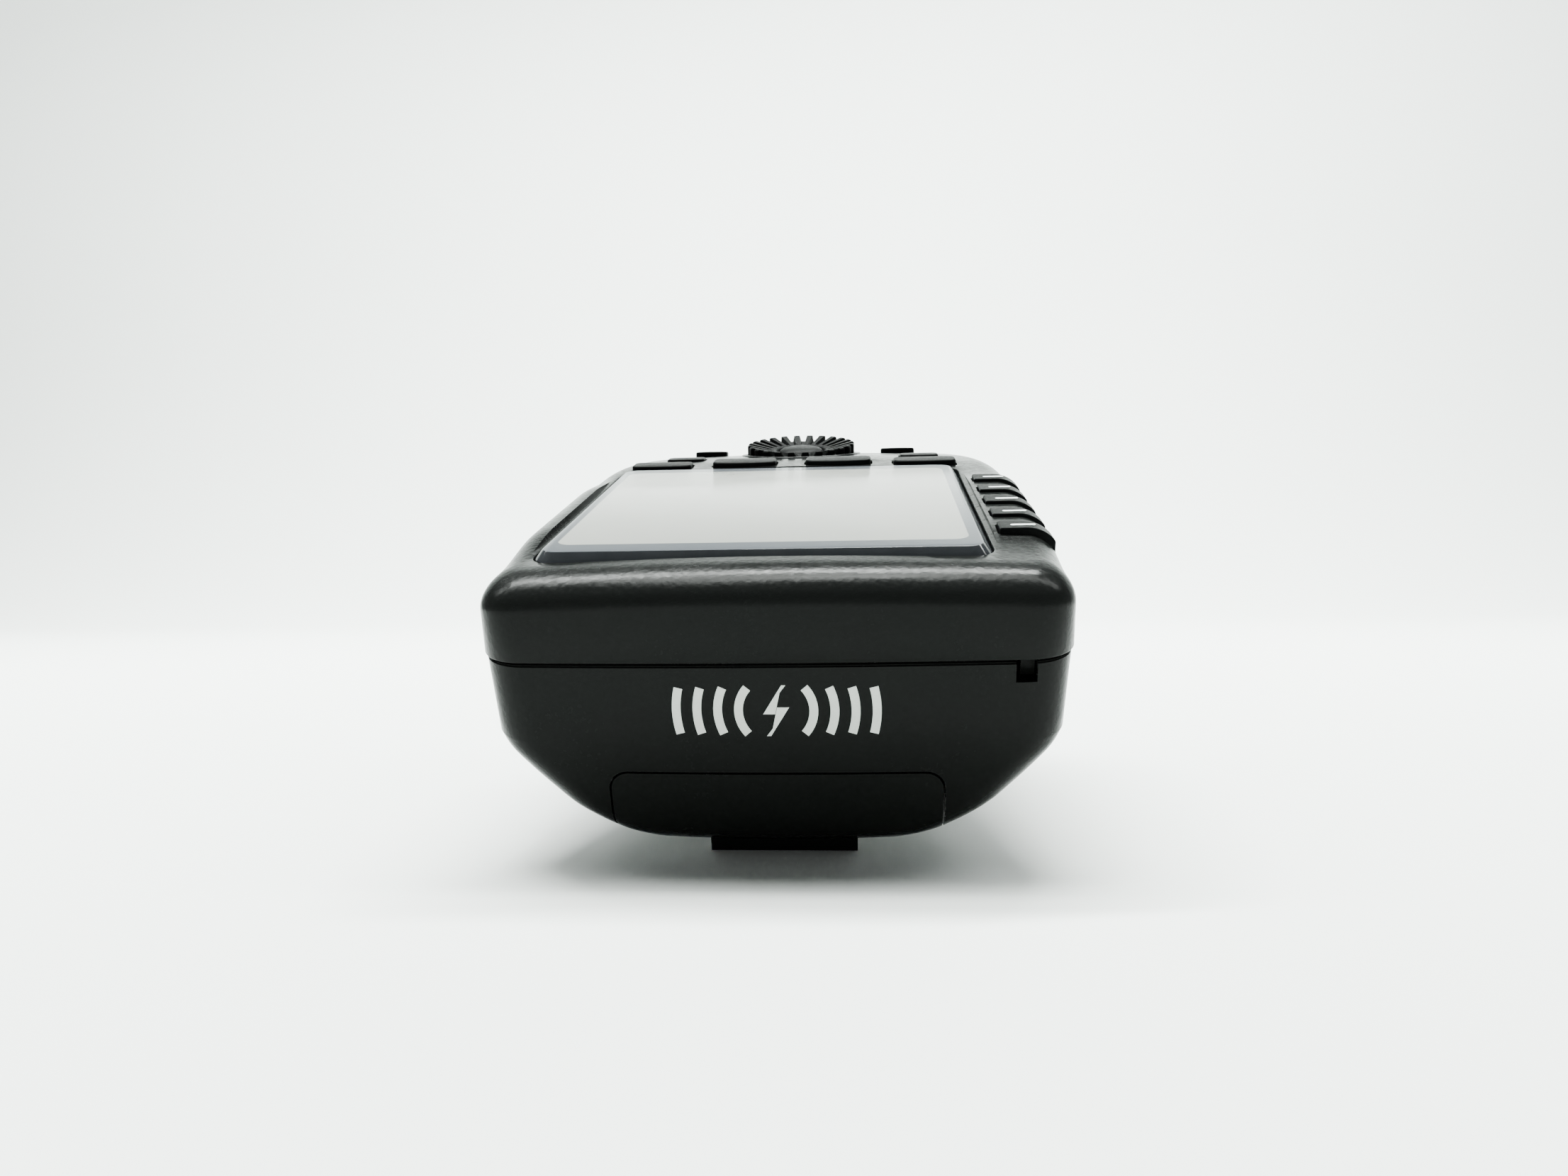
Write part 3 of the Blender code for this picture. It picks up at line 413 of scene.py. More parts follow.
def window_glass():
    """The printed border and the pale panel under the window, both under one clear hard surface."""
    paint = Paint("screen_glass", 0.12, 0.0, Specular_IOR_Level=0.06)
    shift = paint.node("ShaderNodeVectorMath")
    shift.operation = "SUBTRACT"
    paint.feed(shift.inputs[0], paint.place)
    shift.inputs[1].default_value = (DISPLAY_X * MM, (DISPLAY_NEAR + DISPLAY_LENGTH / 2) * MM, 0.0)
    last = shift.outputs[0]
    reach = (
        (DISPLAY_WIDTH / 2 - DISPLAY_CORNER) * MM,
        (DISPLAY_LENGTH / 2 - DISPLAY_CORNER) * MM,
        0.0,
    )
    for operation, value in (
        ("MULTIPLY", (1.0, 1.0, 0.0)),
        ("ABSOLUTE", None),
        ("SUBTRACT", reach),
        ("MAXIMUM", (0.0, 0.0, 0.0)),
    ):
        step = paint.tree.nodes.new("ShaderNodeVectorMath")
        step.operation = operation
        paint.tree.links.new(last, step.inputs[0])
        if value is not None:
            step.inputs[1].default_value = value
        last = step.outputs[0]
    length = paint.tree.nodes.new("ShaderNodeVectorMath")
    length.operation = "LENGTH"
    paint.tree.links.new(last, length.inputs[0])
    corner = DISPLAY_CORNER * MM
    inside = paint.ranged(length.outputs["Value"], 1.0, 0.0, corner - 0.00006, corner + 0.00006)
    haze = paint.noise(60.0, 4.0, 0.6)
    border = paint.blend(haze, (0.064, 0.071, 0.080), (0.074, 0.081, 0.090))
    panel = paint.blend(haze, (0.225, 0.232, 0.215), (0.25, 0.257, 0.238))
    paint.colour(paint.blend(inside, border, panel))
    paint.rough(paint.ranged(paint.noise(140.0, 5.0, 0.7), 0.13, 0.2))
    return paint.material


def glass_edge():
    paint = Paint("screen_glass_edge", 0.12)
    paint.colour(paint.blend(paint.noise(220.0), (0.016, 0.018, 0.021), (0.03, 0.032, 0.036)))
    paint.rough(paint.ranged(paint.noise(900.0), 0.1, 0.2))
    return paint.material


def printed_ink(name, low, high):
    paint = Paint(name, 0.45)
    paint.colour(paint.blend(paint.noise(1500.0, 4.0, 0.7), low, high))
    paint.rough(paint.ranged(paint.noise(2200.0), 0.4, 0.6))
    paint.bump(paint.noise(3000.0), 0.000008)
    return paint.material


def turned_metal(name, low, high, roughness, streak=(60.0, 60.0, 4000.0)):
    """Plated or brushed metal, with fine streaks and clouded gloss."""
    paint = Paint(name, roughness, 1.0)
    lines = paint.noise(1.0, 4.0, 0.7, paint.stretch(streak))
    paint.colour(paint.blend(paint.math("ADD", lines, paint.noise(70.0)), low, high))
    paint.rough(paint.ranged(paint.noise(160.0, 5.0, 0.7), roughness - 0.08, roughness + 0.1))
    paint.bump(lines, 0.000006)
    return paint.material


def soft_rubber():
    paint = Paint("key_rubber", 0.8)
    paint.colour(paint.blend(paint.noise(120.0), (0.035, 0.035, 0.036), (0.06, 0.06, 0.06)))
    paint.rough(paint.ranged(paint.noise(400.0), 0.7, 0.88))
    paint.bump(paint.noise(1400.0, 4.0), 0.00002)
    return paint.material


def circuit_board():
    """Green solder mask over copper, whose tracks stand a little proud, with tinned pads."""
    paint = Paint("circuit_board", 0.35)
    brick = paint.node("ShaderNodeTexBrick", Vector=paint.place, Scale=420.0, Mortar_Size=0.03)
    brick.inputs["Color1"].default_value = (1, 1, 1, 1)
    brick.inputs["Color2"].default_value = (0.7, 0.7, 0.7, 1)
    brick.inputs["Mortar"].default_value = (0, 0, 0, 1)
    tracks = brick.outputs["Fac"]
    green = paint.blend(tracks, (0.008, 0.085, 0.032), (0.02, 0.16, 0.06))
    pads = paint.ranged(paint.cells(520.0), 1.0, 0.0, 0.1, 0.14)
    paint.colour(paint.blend(pads, green, (0.62, 0.6, 0.55)))
    paint.rough(paint.ranged(paint.noise(300.0), 0.28, 0.45))
    paint.bump(tracks, 0.00003, 0.6)
    return paint.material


def cell_wrapper():
    """Shrink film round a cell: dark with a broad plain band, under a clear gloss."""
    paint = Paint("cell_wrapper", 0.3, 0.0, Coat_Weight=0.4)
    wave = paint.node("ShaderNodeTexWave", Vector=paint.place, Scale=9.0, Distortion=0.4)
    wave.bands_direction = "Y"
    dark = paint.blend(paint.noise(90.0), (0.02, 0.021, 0.024), (0.035, 0.036, 0.04))
    band = paint.ranged(wave.outputs["Fac"], 0.0, 1.0, 0.86, 0.9)
    paint.colour(paint.blend(band, dark, (0.42, 0.36, 0.2)))
    paint.rough(paint.ranged(paint.noise(200.0, 4.0), 0.22, 0.4))
    paint.bump(paint.noise(700.0, 2.0), 0.00001)
    return paint.material


def pale_plastic(name, low, high):
    paint = Paint(name, 0.4)
    paint.colour(paint.blend(paint.noise(70.0), low, high))
    paint.rough(paint.ranged(paint.noise(500.0), 0.32, 0.5))
    paint.bump(paint.noise(1800.0), 0.00001)
    return paint.material


BLACK = moulded_plastic(
    "casing_black", (0.0052, 0.0058, 0.0056), (0.0066, 0.0072, 0.0069), 0.21, 0.024
)
KEY_BLACK = moulded_plastic(
    "key_black",
    (0.0028, 0.0031, 0.0032),
    (0.0040, 0.0044, 0.0044),
    roughness=0.40,
    sheen=0.012,
    grain=3400.0,
    depth=0.000006,
)
GLASS = window_glass()
GLASS_EDGE = glass_edge()
INK = printed_ink("nose_mark_ink", (0.44, 0.46, 0.43), (0.54, 0.56, 0.53))
KEY_INK = printed_ink("key_mark_ink", (0.72, 0.74, 0.73), (0.86, 0.88, 0.87))
MATERIALS = {
    "casing_black": BLACK,
    "key_black": KEY_BLACK,
    "screen_glass": GLASS,
    "display_grey": pale_plastic("display_grey", (0.42, 0.44, 0.42), (0.5, 0.52, 0.49)),
    "light_white": pale_plastic("light_white", (0.7, 0.71, 0.7), (0.82, 0.83, 0.82)),
    "key_rubber": soft_rubber(),
    "circuit_board": circuit_board(),
    "plated_metal": turned_metal("plated_metal", (0.5, 0.5, 0.48), (0.68, 0.67, 0.64), 0.32),
    "shoe_steel": turned_metal(
        "shoe_steel", (0.42, 0.42, 0.42), (0.6, 0.6, 0.59), 0.28, (60.0, 3500.0, 60.0)
    ),
    "contact_brass": turned_metal("contact_brass", (0.62, 0.43, 0.17), (0.8, 0.6, 0.28), 0.25),
    "cell_wrapper": cell_wrapper(),
}
for entry in frame["record"]["subparts"]:
    mesh = NODES[entry["node"]].data
    mesh.materials.clear()
    mesh.materials.append(MATERIALS[entry["material_slot"]])


# ---------------------------------------------------------------- making pieces


def to_mesh(form, name):
    bmesh.ops.scale(form, verts=form.verts[:], vec=(MM, MM, MM))
    bmesh.ops.recalc_face_normals(form, faces=form.faces[:])
    if form.calc_volume(signed=True) < 0:
        bmesh.ops.reverse_faces(form, faces=form.faces[:])
    mesh = bpy.data.meshes.new(name)
    form.to_mesh(mesh)
    form.free()
    return mesh


def place_object(mesh, name, space):
    item = bpy.data.objects.new(name, mesh)
    bpy.context.scene.collection.objects.link(item)
    item.matrix_world = space
    return item


def soften(mesh, angle=SMOOTH_ANGLE):
    mesh.shade_smooth()
    mesh.set_sharp_from_angle(angle=math.radians(angle))


def add_piece(
    name,
    form,
    material,
    body,
    slot,
    replaces=(),
    space=STANCE,
    bevel=0.0,
    steps=3,
    angle=SMOOTH_ANGLE,
):
    mesh = to_mesh(form, name)
    mesh.materials.append(material)
    soften(mesh, angle)
    item = place_object(mesh, name, space)
    if bevel:
        add_bevel(item, bevel, steps)
    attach(item, body)
    if replaces:
        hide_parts(*replaces)
    return item


def add_bevel(item, width, steps=3):
    modifier = item.modifiers.new("rounded edges", "BEVEL")
    modifier.width = width * MM
    modifier.segments = steps
    modifier.limit_method = "ANGLE"
    modifier.angle_limit = math.radians(BEVEL_ANGLE)
    modifier.harden_normals = True
    modifier.miter_outer = "MITER_ARC"


def carve(item, cuts):
    """Runs exact booleans on a piece, keeps the result as its mesh, and removes the tools."""
    tools = []
    for index, (form, operation, space) in enumerate(cuts):
        tool = place_object(to_mesh(form, f"tool_{index}"), f"tool_{index}", space)
        tools.append(tool)
        modifier = item.modifiers.new(f"cut {index}", "BOOLEAN")
        modifier.object = tool
        modifier.operation = operation
        modifier.solver = "EXACT"
    bpy.context.view_layer.update()
    graph = bpy.context.evaluated_depsgraph_get()
    mesh = bpy.data.meshes.new_from_object(item.evaluated_get(graph))
    item.modifiers.clear()
    item.data = mesh
    for tool in tools:
        bpy.data.objects.remove(tool, do_unlink=True)
    soften(mesh)


def box(x_span, y_span, z_span, form=None):
    form = form or bmesh.new()
    made = bmesh.ops.create_cube(form, size=1.0)["verts"]
    size = [span[1] - span[0] for span in (x_span, y_span, z_span)]
    centre = [(span[0] + span[1]) / 2 for span in (x_span, y_span, z_span)]
    bmesh.ops.scale(form, verts=made, vec=size)
    bmesh.ops.translate(form, verts=made, vec=centre)
    return form


def cylinder(radius, z_span, centre=(0.0, 0.0), sides=48, form=None):
    form = form or bmesh.new()
    height = z_span[1] - z_span[0]
    made = bmesh.ops.create_cone(
        form, cap_ends=True, segments=sides, radius1=radius, radius2=radius, depth=height
    )["verts"]
    bmesh.ops.translate(form, verts=made, vec=(*centre, (z_span[0] + z_span[1]) / 2))
    return form


def prism(outline, z_span, form=None):
    form = form or bmesh.new()
    verts = [form.verts.new((x, y, z_span[0])) for x, y in outline]
    face = form.faces.new(verts)
    drawn = bmesh.ops.extrude_face_region(form, geom=[face])["geom"]
    upper = [part for part in drawn if isinstance(part, bmesh.types.BMVert)]
    bmesh.ops.translate(form, verts=upper, vec=(0, 0, z_span[1] - z_span[0]))
    return form


def side_prism(outline, y_span):
    """An outline drawn in X and Z, and drawn out along Y."""
    form = prism([(x, -z) for x, z in outline], y_span)
    bmesh.ops.rotate(form, verts=form.verts[:], matrix=Matrix.Rotation(math.radians(-90), 3, "X"))
    return form


def bridge(form, rows):
    """Joins each closed row of points to the next."""
    for row, following in zip(rows, rows[1:]):
        for index in range(len(row)):
            after = (index + 1) % len(row)
            form.faces.new((row[index], row[after], following[after], following[index]))


def stack(outlines):
    """A closed solid through outlines of equal count in space, from the bottom up."""
    form = bmesh.new()
    rows = [[form.verts.new(point) for point in outline] for outline in outlines]
    bridge(form, rows)
    form.faces.new(list(reversed(rows[0])))
    form.faces.new(rows[-1])
    return form


def hoop(rings):
    """A ring-shaped solid through closed rings of equal count, the last joined to the first."""
    form = bmesh.new()
    rows = [[form.verts.new(point) for point in ring] for ring in rings]
    bridge(form, rows + rows[:1])
    return form


def rounded_rectangle(x_span, y_span, radius, steps=10):
    outline = []
    corners = (
        (x_span[1] - radius, y_span[0] + radius, -90),
        (x_span[1] - radius, y_span[1] - radius, 0),
        (x_span[0] + radius, y_span[1] - radius, 90),
        (x_span[0] + radius, y_span[0] + radius, 180),
    )
    for x, y, start in corners:
        for step in range(steps + 1):
            angle = math.radians(start + 90 * step / steps)
            outline.append((x + radius * math.cos(angle), y + radius * math.sin(angle)))
    return outline


def turned(profile):
    """A closed profile of radius and height turned about Z. Points on the axis are shared."""
    form = bmesh.new()
    rings = []
    for radius, height in profile:
        if radius < 1e-6:
            rings.append([form.verts.new((0, 0, height))])
            continue
        angles = [2 * math.pi * side / TURNED_SIDES for side in range(TURNED_SIDES)]
        ring = [(radius * math.cos(a), radius * math.sin(a), height) for a in angles]
        rings.append([form.verts.new(point) for point in ring])
    closed = len(rings[0]) > 1
    pairs = list(zip(rings, rings[1:] + ([rings[0]] if closed else [])))
    for ring, following in pairs:
        for side in range(TURNED_SIDES):
            after = (side + 1) % TURNED_SIDES
            corners = [
                ring[side % len(ring)],
                ring[after % len(ring)],
                following[after % len(following)],
                following[side % len(following)],
            ]
            corners = list(dict.fromkeys(corners))
            if len(corners) > 2:
                form.faces.new(corners)
    return form


# ---------------------------------------------------------------- casings


def ease(value, start, end):
    share = min(1.0, max(0.0, (value - start) / (end - start)))
    return share * share * (3 - 2 * share)


def top_height(x, y):
    """Height of the casing's top: level at the screen, crowned at both ends, lower at the dial."""
    nose = 1.0 - ease(y, *NOSE_EASE)
    crown = CROWN_DROP * (x / HALF_WIDTH) ** 2 * (nose + ease(y, *FAR_EASE))
    past = max(0.0, y - FALL_START)
    curved = min(past, FALL_END - FALL_START)
    slope = 2 * FALL_RATE * (FALL_END - FALL_START)
    fall = FALL_RATE * curved**2 + slope * (past - curved)
    return TOP_CENTRE - NOSE_DROP * nose - crown - fall


def top_slope(y):
    past = min(max(0.0, y - FALL_START), FALL_END - FALL_START)
    return math.atan(2 * FALL_RATE * past)


def far_rise(y):
    return RISE_RATE * max(0.0, y - RISE_START) ** 2


def plan_ring(width, near, far, corner):
    """The outline from the nose's middle round by +X, with each point's share of nose and far end."""
    half = []
    flat = width - corner
    corner_y = near + NOSE_BOW + corner
    for step in range(NOSE_STEPS):
        share = step / NOSE_STEPS
        half.append((flat * share, near + NOSE_BOW * share**2))
    for step in range(CORNER_STEPS):
        angle = math.pi / 2 * step / CORNER_STEPS
        half.append((flat + corner * math.sin(angle), corner_y - corner * math.cos(angle)))
    for step in range(SIDE_STEPS):
        half.append((width, corner_y + (ARCH_START - corner_y) * step / SIDE_STEPS))
    for step in range(ARCH_STEPS + 1):
        angle = math.pi / 2 * step / ARCH_STEPS
        x = width * max(0.0, math.cos(angle)) ** (2 / ARCH_POWER_X)
        y = ARCH_START + (far - ARCH_START) * math.sin(angle) ** (2 / ARCH_POWER_Y)
        half.append((0.0 if step == ARCH_STEPS else x, y))
    ring = half + [(-x, y) for x, y in reversed(half[1:-1])]
    noses = [min(1.0, max(0.0, (corner_y - y) / corner)) for x, y in ring]
    fars = [min(1.0, max(0.0, (y - ARCH_START) / (far - ARCH_START))) for x, y in ring]
    return ring, noses, fars


def top_rings(wall):
    rings = []
    for step in range(FILLET_STEPS + 1):
        angle = math.pi / 2 * step / FILLET_STEPS
        run = (SIDE_FILLET - wall) * (1 - math.cos(angle))
        nose_run = (NOSE_FILLET_RUN - wall) * (1 - math.cos(angle))
        corner = PLAN_CORNER - wall * 0.5 + (TOP_CORNER - PLAN_CORNER) * (1 - math.cos(angle))
        plan = plan_ring(HALF_WIDTH - wall - run, wall + nose_run, BODY_LENGTH - wall - run, corner)
        ring = []
        for (x, y), nose, far in zip(*plan):
            height = SIDE_FILLET + (NOSE_FILLET_HEIGHT - SIDE_FILLET) * nose
            height += (FAR_FILLET_HEIGHT - SIDE_FILLET) * far
            drop = max(0.4, height - wall) * (1 - math.sin(angle))
            ring.append((x, y, top_height(x, y) - wall - drop))
        rings.append(ring)
    outer = (
        HALF_WIDTH - SIDE_FILLET,
        NOSE_FILLET_RUN,
        BODY_LENGTH - SIDE_FILLET,
        TOP_EDGE_CORNER,
    )
    for step in range(1, TOP_SPINE_STEPS + 1):
        width, near, far, corner = [
            a + (b - a) * step / TOP_SPINE_STEPS for a, b in zip(outer, TOP_SPINE)
        ]
        ring, _, _ = plan_ring(width, near, far, corner)
        rings.append([(x, y, top_height(x, y) - wall) for x, y in ring])
    return rings


def rim_ring(inset, height):
    corner = PLAN_CORNER - inset * 0.5
    ring, _, _ = plan_ring(HALF_WIDTH - inset, inset, BODY_LENGTH - inset, corner)
    return [(x, y, height) for x, y in ring]


def section_at(position):
    """The lower casing's section at a fractional row of its table, on a smooth curve."""
    last = len(LOWER_SECTION) - 1
    index = min(last - 1, int(position))
    share = position - index
    rows = [LOWER_SECTION[min(last, max(0, index + step))] for step in (-1, 0, 1, 2)]
    values = []
    for a, b, c, d in zip(*rows):
        slope_b, slope_c = (c - a) / 2, (d - b) / 2
        if index <= 1:
            slope_b = c - b
        square, cube = share * share, share**3
        value = (2 * cube - 3 * square + 1) * b + (cube - 2 * square + share) * slope_b
        values.append(value + (3 * square - 2 * cube) * c + (cube - square) * slope_c)
    return values


def lower_rings(wall):
    rings = []
    parts = 1 if wall else SECTION_STEPS
    count = (len(LOWER_SECTION) - 1) * parts
    for step in range(count + 1):
        if step < parts:
            first, second = LOWER_SECTION[0], LOWER_SECTION[1]
            share = step / parts
            row = [a + (b - a) * share for a, b in zip(first, second)]
        else:
            row = section_at(step / parts)
        above = section_at(max(0.0, (step - 0.5) / parts))
        below = section_at(min(count, step + 0.5) / parts)
        height, width, near, far, corner = row
        across, down = below[1] - above[1], below[0] - above[0]
        length = math.hypot(across, down)
        inward, upward = wall * -down / length, wall * -across / length
        plan = plan_ring(width - inward, near + wall, far - wall, corner)
        depth = (LOWER_SECTION[0][0] - height) / (LOWER_SECTION[0][0] - BOTTOM)
        rings.append([(x, y, height + upward + far_rise(y) * depth) for x, y in plan[0]])
    near_edge, far_edge, edge_corner = BOTTOM_EDGE
    outer = (BOTTOM_HALF, near_edge + wall, far_edge - wall, edge_corner)
    for step in range(1, BOTTOM_SPINE_STEPS + 1):
        width, near, far, corner = [
            a + (b - a) * step / BOTTOM_SPINE_STEPS for a, b in zip(outer, BOTTOM_SPINE)
        ]
        ring, _, _ = plan_ring(width, near, far, corner)
        crown = BOTTOM + wall
        rings.append(
            [(x, y, crown + BOTTOM_CROWN * (x / BOTTOM_HALF) ** 2 + far_rise(y)) for x, y in ring]
        )
    return rings


def loft(rings):
    """A closed body through rings of equal count, capped across the first and last ring."""
    form = bmesh.new()
    rows = [[form.verts.new(point) for point in ring] for ring in rings]
    bridge(form, rows)
    for row in (rows[0], rows[-1]):
        for index in range(len(row) // 2):
            corners = [row[index], row[index + 1], row[-index - 1], row[-index]]
            form.faces.new(list(dict.fromkeys(corners)))
    return form


def upper_form():
    rim = UPPER_RIM_EASE
    outer = [
        rim_ring(rim, UPPER_RIM),
        rim_ring(rim * 0.3, UPPER_RIM + rim * 0.3),
        rim_ring(0.0, UPPER_RIM + rim),
    ]
    inner = [
        rim_ring(REBATE_WALL, UPPER_RIM),
        rim_ring(REBATE_WALL, REBATE_TOP),
        rim_ring(WALL, REBATE_TOP),
    ] + top_rings(WALL)
    return loft(list(reversed(inner)) + outer + top_rings(0.0))


def lower_form():
    rim = LOWER_RIM_EASE
    top = [
        rim_ring(LOWER_INSET, LOWER_RIM - rim),
        rim_ring(LOWER_INSET + rim * 0.3, LOWER_RIM - rim * 0.3),
        rim_ring(LOWER_INSET + rim, LOWER_RIM),
    ]
    lip = [rim_ring(LIP_INSET, LOWER_RIM), rim_ring(LIP_INSET, LIP_TOP), rim_ring(WALL, LIP_TOP)]
    return loft(list(reversed(lower_rings(0.0))) + top + lip + lower_rings(WALL))


def rounded_hole(outline_at, floor, round_edge, surface):
    """A cutter whose mouth is rounded over at the surface. The outline is given per offset."""
    rows = [[(x, y, floor) for x, y in outline_at(0.0)]]
    for angle, out, up in reversed(EDGE_STEPS):
        bow = math.radians(angle)
        grow = round_edge * (1 - math.sin(bow)) + out
        drop = round_edge * (1 - math.cos(bow)) - up
        rows.append([(x, y, surface(x, y) - drop) for x, y in outline_at(grow)])
    rows.append([(x, y, HOLE_CEILING) for x, y in outline_at(round_edge + HOLE_FLARE)])
    return stack(rows)


def rectangle_outline(x_span, y_span, radius):
    def outline(grow):
        return rounded_rectangle(
            (x_span[0] - grow, x_span[1] + grow),
            (y_span[0] - grow, y_span[1] + grow),
            radius + grow,
        )

    return outline


def circle_outline(centre, radius):
    def outline(grow):
        angles = [2 * math.pi * side / ROUND_SIDES for side in range(ROUND_SIDES)]
        reach = radius + grow
        return [(centre[0] + reach * math.cos(a), centre[1] + reach * math.sin(a)) for a in angles]

    return outline


def bulged_outline(width, depth, bulge, radius=0.9):
    """A key's outline about its middle, with a near edge that bows towards the nose."""

    def outline(grow):
        half_x, half_y, corner = width / 2 + grow, depth / 2 + grow, radius + grow
        points = []
        for x, y in rounded_rectangle((-half_x, half_x), (-half_y, half_y), corner, 8):
            if y < 0:
                bow = max(0.0, 1 - (x / half_x) ** 2)
                y -= bulge * bow * min(1.0, -y / (half_y - corner + 0.001))
            points.append((x, y))
        steps = 14
        near = []
        flat = half_x - corner
        for step in range(1, steps):
            x = -flat + 2 * flat * step / steps
            near.append((x, -half_y - bulge * (1 - (x / half_x) ** 2)))
        return points + near

    return outline


def rear_keys():
    """Name, middle on the casing's top, outline, and height of each key by the dial."""
    keys = []
    for index, (x, width, bulge) in enumerate(FUNCTION_KEYS):
        outline = bulged_outline(width, KEY_DEPTH, bulge)
        keys.append((f"function_key_{index + 1}", x, FUNCTION_KEY_Y, outline, FUNCTION_KEY_RAISE))
    for index, (x, y, width, depth, raised) in enumerate(CONTROL_KEYS):
        outline = bulged_outline(width, depth, 0.0, 1.0)
        keys.append((f"control_key_{index + 1}", x, y, outline, raised))
    return keys


def key_space(x, y):
    middle = Vector((x, y, top_height(x, y))) * MM
    return STANCE @ Matrix.Translation(middle) @ Matrix.Rotation(-top_slope(y), 4, "X")


def tilted_surface(x, y):
    """The casing's top as a height in the frame of the key at this place."""
    tilt = top_slope(y)

    def surface(across, along):
        rise = top_height(x + across, y + along * math.cos(tilt)) - top_height(x, y)
        return (rise + along * math.sin(tilt)) / math.cos(tilt)

    return surface


def group_middles():
    return [GROUP_KEY_FIRST + GROUP_KEY_PITCH * index for index in range(5)]


def add_upper_casing():
    shell = add_piece(
        "upper_casing_shell", upper_form(), BLACK, "casing", "casing_black", ["upper_casing"]
    )
    window = rectangle_outline(
        (GLASS_X - GLASS_WIDTH / 2 - WINDOW_GAP, GLASS_X + GLASS_WIDTH / 2 + WINDOW_GAP),
        (GLASS_NEAR - WINDOW_GAP, GLASS_NEAR + GLASS_LENGTH + WINDOW_GAP),
        GLASS_CORNER + GAP,
    )
    cuts = [
        (rounded_hole(window, HOLE_FLOOR, WINDOW_ROUND, top_height), "DIFFERENCE", STANCE)
    ]
    slots = bmesh.new()
    for middle in group_middles():
        reach = GROUP_KEY_HALF + WINDOW_GAP
        outline = rounded_rectangle(
            (GROUP_KEY_INNER - WINDOW_GAP, HALF_WIDTH + 3),
            (middle - reach, middle + reach),
            GROUP_SLOT_CORNER,
        )
        prism(outline, (GROUP_SLOT_FLOOR, 2.0), slots)
    cuts.append((slots, "DIFFERENCE", STANCE))
    grooves = bmesh.new()
    past, half, heights = GROOVE
    groove_x = (GLASS_X + GLASS_WIDTH / 2, GROUP_KEY_INNER)
    for middle in group_middles():
        line = middle - GROUP_KEY_HALF + past
        box(groove_x, (line - half, line + half), heights, grooves)
    cuts.append((grooves, "DIFFERENCE", STANCE))
    dial = circle_outline(DIAL_CENTRE, DIAL_RADIUS + DIAL_GAP)
    well = rounded_hole(dial, DIAL_HOLE_FLOOR, DIAL_HOLE_ROUND, top_height)
    cuts.append((well, "DIFFERENCE", STANCE))
    for _, x, y, outline, _ in rear_keys():

        def hole_outline(grow, outline=outline):
            return outline(grow + KEY_GAP)

        mouth = rounded_hole(hole_outline, HOLE_FLOOR, KEY_HOLE_ROUND, tilted_surface(x, y))
        cuts.append((mouth, "DIFFERENCE", key_space(x, y)))
    carve(shell, cuts)


def lid_block(gap):
    """Everything the battery lid takes up, from under the nose to its far edge."""
    outline = rounded_rectangle(
        (-LID_HALF - gap, LID_HALF + gap), (LID_CUT_FLOOR, LID_TOP + gap), LID_CORNER + gap
    )
    return side_prism(outline, (LID_CUT_START, LID_FAR + gap))


def laid_sideways(form, middle):
    """Turns a form drawn up along Z so that it lies along X, and puts its axis at this Y and Z."""
    bmesh.ops.rotate(form, verts=form.verts[:], matrix=Matrix.Rotation(math.radians(90), 3, "Y"))
    bmesh.ops.translate(form, verts=form.verts[:], vec=(0, *middle))
    return form


def side_slot(x_span, middle, half_y, half_z, radius):
    """A rounded slot through a side wall."""
    outline = rounded_rectangle((-half_z, half_z), (-half_y, half_y), radius, 8)
    return laid_sideways(prism(outline, x_span), middle)


def add_lower_casing():
    shell = add_piece(
        "lower_casing_shell", lower_form(), BLACK, "casing", "casing_black", ["lower_casing"]
    )
    posts, wells, bores = bmesh.new(), bmesh.new(), bmesh.new()
    for x, y in SCREW_POSTS:
        foot = FAR_POST_FOOT if y > RISE_START else POST_FOOT
        cylinder(POST_RADIUS, (foot, POST_TOP), (x, y), 40, posts)
        cylinder(WELL_RADIUS, WELL_SPAN, (x, y), 40, wells)
        cylinder(BORE_RADIUS, BORE_SPAN, (x, y), 32, bores)
    holes = (
        wells,
        bores,
        lid_block(LID_GAP),
        box(NOTCH_X, NOTCH_Y, NOTCH_Z),
        side_slot(*SWITCH_SLOT),
        side_slot(*USB_SLOT),
        laid_sideways(cylinder(JACK_BORE, JACK_SPAN), (JACK_Y, JACK_Z)),
    )
    carve(shell, [(posts, "UNION", STANCE)] + [(hole, "DIFFERENCE", STANCE) for hole in holes])


def add_battery_lid():
    lid = add_piece(
        "battery_lid_shell", lower_form(), BLACK, "battery_lid", "casing_black", ["battery_lid"]
    )
    cuts = [
        (lid_block(0.0), "INTERSECT", STANCE),
        (box(BAR_X, BAR_Y, BAR_Z), "UNION", STANCE),
    ]
    carve(lid, cuts)


# ---------------------------------------------------------------- screen


def add_screen():
    outline = rectangle_outline(
        (GLASS_X - GLASS_WIDTH / 2, GLASS_X + GLASS_WIDTH / 2),
        (GLASS_NEAR, GLASS_NEAR + GLASS_LENGTH),
        GLASS_CORNER,
    )
    run = -GLASS_CHAMFER * 0.75
    levels = (
        (0.0, -GLASS_THICK),
        (0.0, -GLASS_CHAMFER),
        (run, -GLASS_EASE * 0.6),
        (run - GLASS_EASE * 0.5, -GLASS_EASE * 0.15),
        (run - GLASS_EASE, 0.0),
    )
    form = stack([[(x, y, z) for x, y in outline(grow)] for grow, z in levels])
    window = add_piece(
        "screen_window_glass",
        form,
        GLASS,
        "casing",
        "screen_glass",
        ["screen_window"],
        angle=GLASS_SMOOTH_ANGLE,
    )
    window.data.materials.append(GLASS_EDGE)
    for face in window.data.polygons:
        if face.normal.z < LEVEL_NORMAL:
            face.material_index = 1


# ---------------------------------------------------------------- keys and dial


